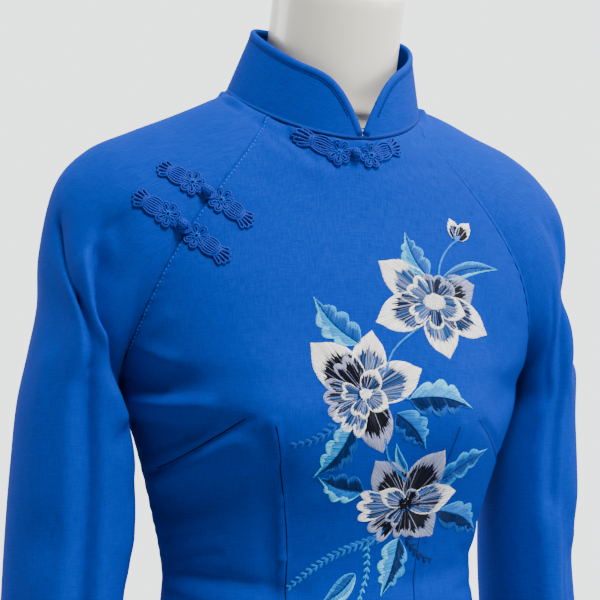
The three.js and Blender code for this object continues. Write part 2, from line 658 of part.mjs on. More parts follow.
// ---------- stand ----------
const lathe = (profile, segments) => {
  const geometry = new THREE.LatheGeometry(profile.map(([r, z]) => new THREE.Vector2(r, z)), segments);
  return geometry.rotateX(Math.PI / 2);
};
const FLOOR = -NECK_HEIGHT;
const FLANGE_RADIUS = 30; // foot of the pole
const BRACKET_RADIUS = 34; // top of the pole, under the form
const POLE_TOP = FORM.at(-1).z - SEAM_GAP;
const POLE_FOOT = FLOOR + BASE_THICKNESS + SEAM_GAP;
addMesh('stand_base', METAL, lathe([
  [0, FLOOR],
  [BASE_RADIUS, FLOOR],
  [BASE_RADIUS, FLOOR + 5],
  [BASE_RADIUS - 5, FLOOR + 9],
  [40, FLOOR + BASE_THICKNESS],
  [0, FLOOR + BASE_THICKNESS],
], 40));
addMesh('stand_pole', METAL, lathe([
  [0, POLE_FOOT],
  [FLANGE_RADIUS, POLE_FOOT],
  [FLANGE_RADIUS, POLE_FOOT + 8],
  [POLE_RADIUS, POLE_FOOT + 20],
  [POLE_RADIUS, POLE_TOP - 16],
  [BRACKET_RADIUS, POLE_TOP - 6],
  [BRACKET_RADIUS, POLE_TOP],
  [0, POLE_TOP],
], 24));

export default group;
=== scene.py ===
"""An ao dai on a limbless dress form: cloth, cord frogs, silk embroidery, form and stand."""

import logging
import math
from dataclasses import dataclass
from enum import Enum
from typing import Callable, Iterable, Sequence

import bpy
import numpy as np
from bpy.types import Material, Node, NodeSocket, NodeTree, Object
from mathutils import Matrix, Vector


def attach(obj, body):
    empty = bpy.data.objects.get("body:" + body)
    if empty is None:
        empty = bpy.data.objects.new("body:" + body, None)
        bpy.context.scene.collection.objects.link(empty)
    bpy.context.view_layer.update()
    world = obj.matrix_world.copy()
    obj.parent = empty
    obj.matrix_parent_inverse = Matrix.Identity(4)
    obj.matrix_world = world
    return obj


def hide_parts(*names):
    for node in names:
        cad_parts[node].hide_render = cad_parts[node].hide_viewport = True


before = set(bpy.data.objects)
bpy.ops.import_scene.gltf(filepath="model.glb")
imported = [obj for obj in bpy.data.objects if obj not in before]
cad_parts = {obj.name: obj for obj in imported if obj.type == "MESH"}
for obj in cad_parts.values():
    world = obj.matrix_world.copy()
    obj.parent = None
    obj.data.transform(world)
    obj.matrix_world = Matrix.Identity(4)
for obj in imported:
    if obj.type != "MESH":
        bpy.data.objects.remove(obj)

Array = np.ndarray
Pair = tuple[float, float]
Points = Array  # (..., 3) places in millimetres, counted from the side neck point
Surface = Callable[[Array, Array], Points]

LOG = logging.getLogger("ao_dai")
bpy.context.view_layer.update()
BODY = "root"
MM = 0.001
NECK_HEIGHT = 1400.0  # side neck point above the floor
SEED = 11


# ---- small helpers
def linear(code: str) -> tuple[float, float, float, float]:
    """Turns an sRGB hex colour, such as "#0d52b1", to linear light and an alpha of 1."""
    parts = [int(code[k : k + 2], 16) / 255 for k in (1, 3, 5)]
    return (*(p / 12.92 if p <= 0.04045 else ((p + 0.055) / 1.055) ** 2.4 for p in parts), 1.0)


def add_node(tree: NodeTree, kind: str, inputs: dict | None = None, **settings) -> Node:
    """Adds a node with its settings, and sets or links its inputs.

    Args:
        tree: The node tree to add to.
        kind: The node's type.
        inputs: Input name or index to a value, or to the socket to link from.
        **settings: The node's own properties.

    Returns:
        The new node.
    """
    node = tree.nodes.new(kind)
    for name, value in settings.items():
        setattr(node, name, value)
    for key, value in (inputs or {}).items():
        socket = node.inputs[key]
        if isinstance(value, NodeSocket):
            tree.links.new(value, socket)
        else:
            socket.default_value = value
    return node


def unit(v: Points) -> Points:
    """Scales vectors to length 1."""
    return v / np.maximum(np.linalg.norm(v, axis=-1, keepdims=True), 1e-9)


def joined(*parts: Array | float) -> Array:
    """Puts coordinates together along a last axis."""
    return np.stack(np.broadcast_arrays(*parts), -1)


def walked(line: Points) -> Array:
    """How far along a line each of its points lies."""
    return np.concatenate([[0], np.cumsum(np.linalg.norm(np.diff(line, axis=0), axis=1))])


def read_off(line: Array, steps: Array, at: Array) -> Array:
    """Flat places on a line, between its points."""
    return joined(*(np.interp(at, steps, line[:, k]) for k in (0, 1)))


def bell(x: Array, width: float) -> Array:
    """A smooth bump of height 1 that fades over a width."""
    return np.exp(-((x / width) ** 2))


def rise(x: Array, low: float, high: float) -> Array:
    """Goes smoothly from 0 at low to 1 at high."""
    t = np.clip((x - low) / (high - low), 0, 1)
    return t * t * (3 - 2 * t)


def smooth(before: Array, a: Array, b: Array, after: Array, f: Array) -> Array:
    """A value on the smooth curve from a to b.

    Args:
        before: The station before a.
        a: The station where f is 0.
        b: The station where f is 1.
        after: The station after b.
        f: How far from a to b.

    Returns:
        The value there.
    """
    slope = b - before
    bend = 2 * before - 5 * a + 4 * b - after
    twist = 3 * a - before - 3 * b + after
    return 0.5 * (2 * a + slope * f + bend * f**2 + twist * f**3)


class Table:
    """Rows of numbers under named columns, read at any row number."""

    def __init__(self, columns: str, rows: Sequence[Sequence[float]]) -> None:
        """Keeps the rows as numbers."""
        self.names = columns.split()
        self.values = np.array(rows, float)

    def read(self, at: Array, corner: int = -1) -> dict[str, Array]:
        """Reads every column on a smooth curve through the rows.

        Args:
            at: Row numbers, which need not be whole.
            corner: A row where the curve turns sharply, or -1.

        Returns:
            Column name to values.
        """
        v = self.values
        last = len(v) - 1
        t = np.clip(np.asarray(at, float), 0, last)
        k = np.minimum(np.floor(t).astype(int), last - 1)
        a, b = v[k], v[k + 1]
        inner_low = ((k > 0) & (k != corner))[..., None]
        inner_high = ((k + 2 <= last) & (k + 1 != corner))[..., None]
        before = np.where(inner_low, v[np.maximum(k - 1, 0)], 2 * a - b)
        after = np.where(inner_high, v[np.minimum(k + 2, last)], 2 * b - a)
        out = smooth(before, a, b, after, (t - k)[..., None])
        return {name: out[..., i] for i, name in enumerate(self.names)}


# ---- finishes
@dataclass(frozen=True)
class Finish:
    """What every finish has: a name, a colour and how it scatters light."""

    name: str
    colour: str
    roughness: float
    metallic: float = 0.0
    coat: float = 0.0
    specular: float = 0.5
    relief_mm: float = 0.1
    relief: float = 0.4

    def start(self) -> tuple[Material, NodeTree]:
        """Makes a material with one shader, dressed with the plain values.

        Returns:
            The material and its node tree.
        """
        material = bpy.data.materials.new(self.name)
        material.use_nodes = True
        material.diffuse_color = linear(self.colour)
        values = {
            "Base Color": linear(self.colour), "Roughness": self.roughness, "Metallic": self.metallic,
            "Specular IOR Level": self.specular, "Coat Weight": self.coat,
        }
        for label, value in values.items():
            material.node_tree.nodes["Principled BSDF"].inputs[label].default_value = value
        return material, material.node_tree

    def dress(self, tree: NodeTree, colour: NodeSocket, height: NodeSocket) -> None:
        """Gives the shader its colour and its relief.

        Args:
            tree: The material's node tree.
            colour: The socket that gives the colour.
            height: The socket that gives the relief's height.
        """
        shader = tree.nodes["Principled BSDF"]
        raised = {"Height": height, "Distance": self.relief_mm * MM, "Strength": self.relief}
        bump = add_node(tree, "ShaderNodeBump", raised)
        tree.links.new(colour, shader.inputs["Base Color"])
        tree.links.new(bump.outputs[0], shader.inputs["Normal"])


@dataclass(frozen=True)
class Crepe(Finish):
    """Woven polyester crepe: matt, with crossing fine threads."""

    relief_mm: float = 0.16
    relief: float = 0.55
    light: str = "#0038a8"
    thread_mm: float = 1.1  # the real yarn is 0.35 mm; drawn this coarse so that it shows
    slub_mm: float = 10.0  # how far one thicker stretch of yarn runs
    grain: float = 0.7  # how much a finer, even grain counts beside the threads
    dark_below: float = 0.75
    light_above: float = 1.95

    def make(self) -> Material:
        """Builds the weave from two stretched noises, warp and weft, on the cloth's own map."""
        material, tree = self.start()
        cloth = add_node(tree, "ShaderNodeUVMap", uv_map="cloth").outputs[0]
        fine, long = 1 / (self.thread_mm * MM), 1 / (self.slub_mm * MM)
        noises = []
        for across, along, scale in ((fine, long, 1.0), (long, fine, 1.0), (fine, fine, 1.3)):
            place = add_node(tree, "ShaderNodeMapping", {"Vector": cloth, "Scale": (across, along, 1.0)})
            spread = {"Vector": place.outputs[0], "Scale": scale, "Detail": 2.0}
            noises.append(add_node(tree, "ShaderNodeTexNoise", spread).outputs["Fac"])
        warp, weft, grain = noises
        weave = add_node(tree, "ShaderNodeMath", {0: warp, 1: weft}, operation="ADD")
        parts = {0: grain, 1: self.grain, 2: weave.outputs[0]}
        height = add_node(tree, "ShaderNodeMath", parts, operation="MULTIPLY_ADD").outputs[0]
        span = {"Value": height, "From Min": self.dark_below, "From Max": self.light_above}
        tone = add_node(tree, "ShaderNodeMapRange", span)
        colours = {"Factor": tone.outputs[0], "A": linear(self.colour), "B": linear(self.light)}
        mixed = add_node(tree, "ShaderNodeMix", colours, data_type="RGBA")
        self.dress(tree, mixed.outputs["Result"], height)
        return material


@dataclass(frozen=True)
class Yarn(Finish):
    """Twisted yarn or cord: a fine slanting ply that catches the light."""

    ply_mm: float = 0.9
    attribute: str = ""

    def make(self) -> Material:
        """Builds the ply from a fine noise, and takes each thread's own colour where it has one."""
        material, tree = self.start()
        where = add_node(tree, "ShaderNodeTexCoord").outputs["Object"]
        spun = {"Vector": where, "Scale": 1 / (self.ply_mm * MM), "Detail": 1.0}
        ply = add_node(tree, "ShaderNodeTexNoise", spun).outputs["Fac"]
        span = {"Value": ply, "From Min": 0.3, "From Max": 0.7, "To Min": 0.82, "To Max": 1.12}
        shade = add_node(tree, "ShaderNodeMapRange", span)
        base = linear(self.colour)[:3]
        if self.attribute:
            base = add_node(tree, "ShaderNodeAttribute", attribute_name=self.attribute).outputs["Color"]
        lit = add_node(tree, "ShaderNodeVectorMath", {0: base, "Scale": shade.outputs[0]}, operation="SCALE")
        self.dress(tree, lit.outputs[0], ply)
        return material


@dataclass(frozen=True)
class Shell(Finish):
    """Moulded and sprayed plastic or metal: almost even, with a faint broad mottle."""

    relief_mm: float = 0.03
    relief: float = 0.5
    mottle_mm: float = 60.0
    grain_mm: float = 1.2
    stretch: tuple[float, float, float] = (1.0, 1.0, 1.0)

    def make(self) -> Material:
        """Builds the mottle in colour and a fine grain in the surface."""
        material, tree = self.start()
        where = add_node(tree, "ShaderNodeTexCoord").outputs["Object"]
        place = add_node(tree, "ShaderNodeMapping", {"Vector": where, "Scale": self.stretch})
        broad = {"Vector": where, "Scale": 1 / (self.mottle_mm * MM), "Detail": 3.0}
        mottle = add_node(tree, "ShaderNodeTexNoise", broad)
        span = {"Value": mottle.outputs["Fac"], "To Min": 0.93, "To Max": 1.04}
        shade = add_node(tree, "ShaderNodeMapRange", span)
        scaled = {0: linear(self.colour)[:3], "Scale": shade.outputs[0]}
        lit = add_node(tree, "ShaderNodeVectorMath", scaled, operation="SCALE")
        fine = {"Vector": place.outputs[0], "Scale": 1 / (self.grain_mm * MM)}
        self.dress(tree, lit.outputs[0], add_node(tree, "ShaderNodeTexNoise", fine).outputs["Fac"])
        return material


class Finishes:
    """Every finish of the object, made once."""

    def __init__(self) -> None:
        """Makes the materials."""
        # dyed crepe: a saturated blue that goes dark in the folds rather than grey
        self.crepe = Crepe("royal_blue_crepe", "#00267e", 0.85, specular=0.06).make()
        # the same cloth rolled double: a little shinier where it is pressed; its darker colour is painted
        # shade along the seams
        self.seam = Yarn("sewn_seam", "#001f6a", 0.75, specular=0.12).make()
        # painted shade: a near-black thread that stands in for the shadow inside a pressed-shut fold
        self.fold = Yarn("pressed_fold", "#000e3a", 0.9, specular=0.03).make()
        self.cord = Yarn("satin_cord", "#002a90", 0.6, specular=0.15, ply_mm=0.7).make()
        # mercerised silk, each thread in its own dye
        self.silk = Yarn("silk_thread", "#ffffff", 0.5, specular=0.14, ply_mm=0.6, attribute="thread").make()
        self.topstitch = Yarn("topstitching", "#0f5ad0", 0.7, specular=0.1).make()
        # sprayed glass fibre: smooth and softly glossy
        self.form = Shell("sprayed_glass_fibre", "#efebdc", 0.3, coat=0.25).make()
        self.cap = Shell("enamelled_cap", "#efeee8", 0.32, coat=0.3).make()
        self.steel = Shell(
            "brushed_steel", "#b4b6ba", 0.32, metallic=1.0, grain_mm=0.5, stretch=(1.0, 1.0, 0.06)
        ).make()
        self.wire = Shell("nickel_wire", "#c6c8cc", 0.22, metallic=1.0).make()
        self.floor = Shell("studio_floor", "#cfd1d0", 0.85, mottle_mm=900.0, grain_mm=9.0).make()


# ---- meshes
def to_metres(points: Points) -> Points:
    """From millimetres about the side neck point to the object's own frame."""
    return (np.asarray(points, float) + [0.0, 0.0, NECK_HEIGHT]) * MM


def outward(points: Points, faces: Array) -> Array:
    """Turns all faces round if they enclose a negative volume.

    Args:
        points: The corners.
        faces: Corner numbers, four to a face.

    Returns:
        The faces, facing out.
    """
    a, b, c, d = (points[faces[:, k]] for k in range(4))
    volume = np.einsum("ij,ij->i", a, np.cross(b, c)) + np.einsum("ij,ij->i", a, np.cross(c, d))
    return faces[:, ::-1] if volume.sum() < 0 else faces


def make_object(
    name: str, points: Points, faces: Sequence, material: Material, maps: Array | None = None
) -> Object:
    """Makes a smooth mesh object at the origin.

    Args:
        name: The object's name.
        points: Corners in millimetres.
        faces: Corner numbers of each face.
        material: Its finish.
        maps: A place on the flat cloth for every corner, in metres, or None.

    Returns:
        The object, linked to the scene.
    """
    mesh = bpy.data.meshes.new(name)
    mesh.from_pydata(to_metres(points).tolist(), [], [list(map(int, f)) for f in faces])
    mesh.materials.append(material)
    if maps is not None:
        layer = mesh.uv_layers.new(name="cloth")
        corners = np.empty(len(mesh.loops), np.int32)
        mesh.loops.foreach_get("vertex_index", corners)
        layer.data.foreach_set("uv", maps[corners].astype(np.float32).ravel())
    mesh.shade_smooth()
    mesh.validate()
    made = bpy.data.objects.new(name, mesh)
    bpy.context.scene.collection.objects.link(made)
    return made


def wall(
    name: str,
    rows: Array,
    columns: Array,
    surface: Surface,
    thickness: float,
    material: Material,
    ring_below: float = -math.inf,
) -> tuple[Object, float]:
    """Makes a thin shell about a surface.

    Args:
        name: The object's name.
        rows: The surface's first parameter, row by row.
        columns: The surface's second parameter.
        surface: Gives the middle of the cloth.
        thickness: The shell's thickness in millimetres.
        material: Its finish.
        ring_below: Rows up to this one close on themselves.

    Returns:
        The object and the area of the cloth in square metres.
    """
    R, C = len(rows), len(columns)
    grid_rows, grid_columns = np.meshgrid(rows, columns, indexing="ij")
    middle = surface(grid_rows, grid_columns)
    ring = rows <= ring_below
    middle[ring, -1] = middle[ring, 0]
    along = np.gradient(middle, axis=0)
    across = np.gradient(middle, axis=1)
    wrapped = (middle[:, 1] - middle[:, -2]) / 2
    across[ring, 0] = across[ring, -1] = wrapped[ring]
    normal = unit(np.cross(across, along))
    steps = np.linalg.norm(np.diff(middle, axis=1), axis=-1)
    u = np.concatenate([np.zeros((R, 1)), np.cumsum(steps, axis=1)], axis=1)
    u -= u[:, C // 2 : C // 2 + 1]
    lengths = np.linalg.norm(np.diff(middle, axis=0), axis=-1)
    v = np.concatenate([np.zeros((1, C)), np.cumsum(lengths, axis=0)], axis=0)
    maps = joined(u, v).reshape(-1, 2) * MM
    points = np.concatenate([(middle + s * normal * thickness / 2).reshape(-1, 3) for s in (1, -1)])
    index = np.arange(R * C).reshape(R, C)
    index[ring, -1] = index[ring, 0]
    a, b, c, d = index[:-1, :-1], index[:-1, 1:], index[1:, 1:], index[1:, :-1]
    outer = joined(a, b, c, d).reshape(-1, 4)
    inner = outer[:, ::-1] + R * C
    every, open_rows = np.ones(C - 1, bool), ~(ring[:-1] & ring[1:])
    ends = ((index[0], every, 1), (index[-1], every, -1))
    edges = ((index[:, 0], open_rows, -1), (index[:, -1], open_rows, 1))
    sides = []
    for line, kept, turn in ends + edges:
        first, second = line[:-1][kept], line[1:][kept]
        sides.append(joined(first, second, second + R * C, first + R * C)[:, ::turn])
    faces = outward(points, np.concatenate([outer, inner, *sides]))
    diagonals = middle[1:, 1:] - middle[:-1, :-1], middle[1:, :-1] - middle[:-1, 1:]
    area = 0.5 * np.linalg.norm(np.cross(*diagonals), axis=-1)
    made = make_object(name, points, faces, material, np.concatenate([maps, maps]))
    return made, float(area.sum()) * MM * MM


def loft(name: str, rings: Points, material: Material, maps: Array | None = None) -> Object:
    """Makes a closed solid through rings, with a point at the middle of each end.

    Args:
        name: The object's name.
        rings: (ring, corner, 3) places in millimetres.
        material: Its finish.
        maps: A place on the flat cloth for every corner, in metres, or None.

    Returns:
        The object.
    """
    R, C = rings.shape[:2]
    points = np.concatenate([rings.reshape(-1, 3), rings[:1].mean(1), rings[-1:].mean(1)])
    index = np.arange(R * C).reshape(R, C)
    after = np.roll(index, -1, axis=1)
    faces = joined(index[:-1], after[:-1], after[1:], index[1:]).reshape(-1, 4)
    first, last = np.full(C, R * C), np.full(C, R * C + 1)
    start = joined(first, after[0], index[0], first)
    stop = joined(last, index[-1], after[-1], last)
    faces = outward(points, np.concatenate([faces, start, stop]))
    trimmed = [list(dict.fromkeys(map(int, f))) for f in faces]
    if maps is not None:
        maps = np.concatenate([maps.reshape(-1, 2), maps[0, :1], maps[-1, :1]])
    return make_object(name, points, trimmed, material, maps)


# ---- threads and stitches by geometry nodes
class Strand(Enum):
    """What runs along a path."""

    CORD = "cord"
    STITCHES = "stitches"


class Spinner:
    """Turns paths into cords, threads and lines of stitches."""

    def __init__(self) -> None:
        """Builds one node tree for each kind of strand."""
        self.trees = {Strand.CORD: self._cord_tree(), Strand.STITCHES: self._stitch_tree()}

    @staticmethod
    def _new_tree(name: str, sizes: dict[str, tuple[str, float]]) -> tuple[NodeTree, Node]:
        """Starts a geometry tree with named inputs.

        Args:
            name: The tree's name.
            sizes: Input name to socket type and default.

        Returns:
            The tree and its input node.
        """
        tree = bpy.data.node_groups.new(name, "GeometryNodeTree")
        tree.interface.new_socket(name="Geometry", in_out="INPUT", socket_type="NodeSocketGeometry")
        for label, (kind, value) in sizes.items():
            tree.interface.new_socket(name=label, in_out="INPUT", socket_type=kind).default_value = value
        tree.interface.new_socket(name="Finish", in_out="INPUT", socket_type="NodeSocketMaterial")
        tree.interface.new_socket(name="Geometry", in_out="OUTPUT", socket_type="NodeSocketGeometry")
        return tree, add_node(tree, "NodeGroupInput")

    @staticmethod
    def _end_tree(tree: NodeTree, start: Node, shape: NodeSocket) -> None:
        """Ends a tree: real geometry, smooth, with its finish.

        Args:
            tree: The tree.
            start: Its input node.
            shape: The geometry to end with.
        """
        real = add_node(tree, "GeometryNodeRealizeInstances", {"Geometry": shape})
        even = add_node(tree, "GeometryNodeSetShadeSmooth", {0: real.outputs[0]})
        finish = {"Geometry": even.outputs[0], "Material": start.outputs["Finish"]}
        dressed = add_node(tree, "GeometryNodeSetMaterial", finish)
        add_node(tree, "NodeGroupOutput", {0: dressed.outputs[0]})

    def _cord_tree(self) -> NodeTree:
        """A round cord along every path."""
        sizes = {"Radius": ("NodeSocketFloat", 0.0005), "Sides": ("NodeSocketInt", 6)}
        tree, start = self._new_tree("cord_along_path", sizes)
        curve = add_node(tree, "GeometryNodeMeshToCurve", {"Mesh": start.outputs["Geometry"]})
        circle = {"Resolution": start.outputs["Sides"], "Radius": start.outputs["Radius"]}
        section = add_node(tree, "GeometryNodeCurvePrimitiveCircle", circle)
        swept = {"Curve": curve.outputs[0], "Profile Curve": section.outputs[0], "Fill Caps": True}
        self._end_tree(tree, start, add_node(tree, "GeometryNodeCurveToMesh", swept).outputs[0])
        return tree

    def _stitch_tree(self) -> NodeTree:
        """Short stitches at an even pitch along every path."""
        sizes = {
            "Pitch": ("NodeSocketFloat", 0.003),
            "Length": ("NodeSocketFloat", 0.002),
            "Radius": ("NodeSocketFloat", 0.0003),
        }
        tree, start = self._new_tree("stitches_along_path", sizes)
        curve = add_node(tree, "GeometryNodeMeshToCurve", {"Mesh": start.outputs["Geometry"]})
        pitch = {"Curve": curve.outputs[0], "Length": start.outputs["Pitch"]}
        spaced = add_node(tree, "GeometryNodeResampleCurve", pitch, mode="LENGTH")
        heading = {"Vector": add_node(tree, "GeometryNodeInputTangent").outputs[0]}
        turned = add_node(tree, "FunctionNodeAlignRotationToVector", heading, axis="Z")
        size = {"Vertices": 6, "Radius": start.outputs["Radius"], "Depth": start.outputs["Length"]}
        stitch = add_node(tree, "GeometryNodeMeshCylinder", size)
        spread = {"Min": (0.9, 0.9, 0.86), "Max": (1.1, 1.1, 1.1), "Seed": SEED}
        uneven = add_node(tree, "FunctionNodeRandomValue", spread, data_type="FLOAT_VECTOR")
        sockets = ("Points", "Instance", "Rotation", "Scale")
        nodes = (spaced, stitch, turned, uneven)
        each = {socket: node.outputs[0] for socket, node in zip(sockets, nodes)}
        placed = add_node(tree, "GeometryNodeInstanceOnPoints", each)
        self._end_tree(tree, start, placed.outputs[0])
        return tree

    def spin(
        self,
        name: str,
        paths: Iterable[Points],
        material: Material,
        strand: Strand = Strand.CORD,
        colours: Array | None = None,
        **sizes: float,
    ) -> Object:
        """Bakes strands along paths into one mesh.

        Args:
            name: The object's name.
            paths: Lists of places in millimetres; a path whose ends meet is closed.
            material: Its finish.
            strand: What runs along the paths.
            colours: One linear colour for each path, or None.
            **sizes: The tree's inputs by name, lengths in metres.

        Returns:
            The object.
        """
        paths = [np.asarray(p, float) for p in paths]
        closed = [len(p) > 3 and np.allclose(p[0], p[-1]) for p in paths]
        kept = [p[:-1] if shut else p for p, shut in zip(paths, closed)]
        edges, offset = [], 0
        for p, shut in zip(kept, closed):
            edges += [(offset + k, offset + k + 1) for k in range(len(p) - 1)]
            if shut:
                edges.append((offset + len(p) - 1, offset))
            offset += len(p)
        mesh = bpy.data.meshes.new(name + "_paths")
        mesh.from_pydata(to_metres(np.concatenate(kept)).tolist(), edges, [])
        if colours is not None:
            layer = mesh.attributes.new("thread", "FLOAT_COLOR", "POINT")
            spread = np.repeat(np.asarray(colours, np.float32), [len(p) for p in kept], axis=0)
            layer.data.foreach_set("color", spread.ravel())
        made = bpy.data.objects.new(name, mesh)
        bpy.context.scene.collection.objects.link(made)
        modifier = made.modifiers.new("strand", "NODES")
        modifier.node_group = self.trees[strand]
        inputs = {"Finish": material, **{label.capitalize(): value for label, value in sizes.items()}}
        for item in modifier.node_group.interface.items_tree:
            if item.in_out == "INPUT" and item.name in inputs:
                modifier[item.identifier] = inputs[item.name]
        graph = bpy.context.evaluated_depsgraph_get()
        baked = bpy.data.meshes.new_from_object(made.evaluated_get(graph))
        made.modifiers.clear()
        made.data = baked
        baked.name = name
        return made


# ---- the garment's shape
@dataclass(frozen=True)
class Neck:
    """The neck seam: a slanted ring where panels, sleeves and collar meet."""

    half_width: float = 72
    half_depth: float = 71
    y: float = 3
    z: float = -18
    slope: float = 26
    lift: float = 12

    def at(self, angle: Array) -> Points:
        """A place on the seam; angle 0 is the centre front, a quarter turn the wearer's left."""
        s, c = np.sin(angle), np.cos(angle)
        z = self.z - self.slope * c + self.lift * s * s
        return joined(self.half_width * s, self.y - self.half_depth * c, z)


NECK = Neck()
FRONT_CORNER = NECK.at(np.radians(52.0))
BACK_CORNER = NECK.at(np.radians(128.0))
SHOULDER_NECK = NECK.at(np.radians(90.0))
UNDERARM = 13  # panel row where the side seam and the raglan seams meet
NECK_ROW = 20
ARM_ROWS = 9
SLIT_ROW = 8
SLEEVE_ROWS = NECK_ROW - UNDERARM
HALF_TURN = np.radians(70.0)  # how far the cloth faces sideways at a panel's edge

PANEL_COLUMNS = "edge_x edge_y edge_z centre_y centre_z turn"
FRONT = Table(PANEL_COLUMNS, [
    [196, -62, -1270, -104, -1270, 48],
    [194, -60, -1120, -104, -1120, 50],
    [190, -56, -960, -104, -960, 54],
    [184, -50, -820, -104, -820, 60],
    [173, -40, -700, -103, -700, 68],
    [161, -28, -610, -101, -610, 77],
    [150, -16, -520, -96, -520, 85],
    [134, -5, -450, -87, -450, 90],
    [122, -1, -400, -79, -400, 90],
    [117, 0, -357, -75, -357, 90],
    [124, 0, -315, -83, -318, 90],
    [137, 0, -270, -97, -275, 90],
    [149, 0, -238, -102, -244, 90],
    [155, 0, -218, -100, -222, 90],
    [154, -26, -200, -98, -206, 83],
    [147, -48, -170, -93.5, -180, 75],
    [134, -60, -137, -88, -152, 69],
    [115, -62, -105, -81.5, -125, 63],
    [94, -60, -77, -75, -98, 58],
    [73, -53, -50, -70.5, -70, 54],
    [*FRONT_CORNER, NECK.y - NECK.half_depth, NECK.z - NECK.slope, 52],
])
BACK = Table(PANEL_COLUMNS, [
    [196, 70, -1270, 112, -1270, 46],
    [194, 68, -1120, 112, -1120, 48],
    [190, 64, -960, 113, -960, 52],
    [184, 56, -820, 114, -820, 58],
    [173, 44, -700, 115, -700, 66],
    [161, 30, -610, 115, -610, 76],
    [150, 16, -520, 109, -520, 85],
    [134, 5, -450, 92, -450, 90],
    [122, 1, -400, 75, -400, 90],
    [117, 0, -357, 67, -357, 90],
    [124, 0, -315, 74, -312, 90],
    [137, 0, -270, 86, -264, 90],
    [149, 0, -238, 91, -232, 90],
    [155, 0, -218, 93, -208, 90],
    [154, 40, -197, 95, -184, 82],
    [147, 64, -158, 95, -150, 74],
    [134, 74, -120, 92, -112, 68],
    [115, 76, -84, 87, -76, 62],
    [94, 70, -52, 82, -42, 58],
    [73, 60, -24, 76, -14, 54],
    [*BACK_CORNER, NECK.y + NECK.half_depth, NECK.z + NECK.slope, 52],
])
RIDGE_COLUMNS = "x y z turn"
SHOULDER = ([148, 2, -39, 82], [119, 0, -27, 64], [94, -2, -16, 47], [*SHOULDER_NECK, 38])
RIDGE_RIGHT = Table(RIDGE_COLUMNS, [
    [211, 6, -128, 145],
    [201, 5, -80, 112],
    [179, 4, -54, 97],
    *SHOULDER,
])
RIDGE_LEFT = Table(RIDGE_COLUMNS, [
    [193, 6, -128, 145],
    [191, 5, -82, 112],
    [172, 4, -56, 97],
    *SHOULDER,
])
ARM_COLUMNS = "x y inner_z outer_z half_width half_depth"
ARM_RIGHT = Table(ARM_COLUMNS, [
    [204, -6, -640, -640, 33, 48],
    [203, -4, -590, -590, 34, 50],
    [200, -2, -520, -520, 36, 53],
    [197, 0, -450, -450, 38, 56],
    [194, 2, -380, -380, 40, 59],
    [190.5, 4, -325, -322, 41, 61],
    [188.5, 5, -284, -276, 40, 61],
    [188.5, 5, -254, -236, 36.5, 59],
    [186.5, 4, -233, -200, 31.5, 58],
    [183.5, 4, -218, -166, 28.5, 57],
])
ARM_LEFT = Table(ARM_COLUMNS, [
    [199, 4, -640, -640, 31, 46],
    [197, 5, -590, -590, 31, 48],
    [189, 7, -520, -520, 32, 51],
    [181, 9, -450, -450, 33, 54],
    [175, 11, -380, -380, 32, 56],
    [173, 12, -325, -323, 30.5, 57],
    [173, 12, -284, -278, 28.5, 57],
    [175, 11, -254, -241, 25, 56],
    [177.5, 8, -233, -206, 22, 56],
    [176, 5, -218, -168, 21, 56],
])

FOLD_COLUMNS = "a0 z0 a1 z1 width depth lean"
FRONT_FOLDS = Table(FOLD_COLUMNS, [
    [-152, -213, -126, -225, 11, 4.5, 0], [150, -214, 112, -232, 12, 4, 0],
    [-140, -262, -96, -250, 11, 3.5, 0], [-128, -318, -60, -300, 14, 3, 0],
    [-122, -352, -40, -366, 9, 2, 0], [118, -350, 40, -362, 9, 2, 0],
    [-96, -640, -112, -1270, 34, 9, 0], [34, -700, 58, -1270, 38, -8, 0],
    [128, -600, 140, -1270, 30, 8, 0],
])
BACK_FOLDS = Table(FOLD_COLUMNS, [
    [-146, -206, -104, -226, 13, 5, 0], [146, -206, 104, -228, 13, 4, 0],
    [-108, -352, -30, -368, 10, 2.5, 0], [108, -350, 30, -364, 10, 2.5, 0],
    [0, -420, 0, -560, 20, -4, 0], [-60, -700, -84, -1270, 36, 9, 0],
    [22, -640, 10, -1270, 34, -8, 0], [112, -620, 128, -1270, 32, 8, 0],
])
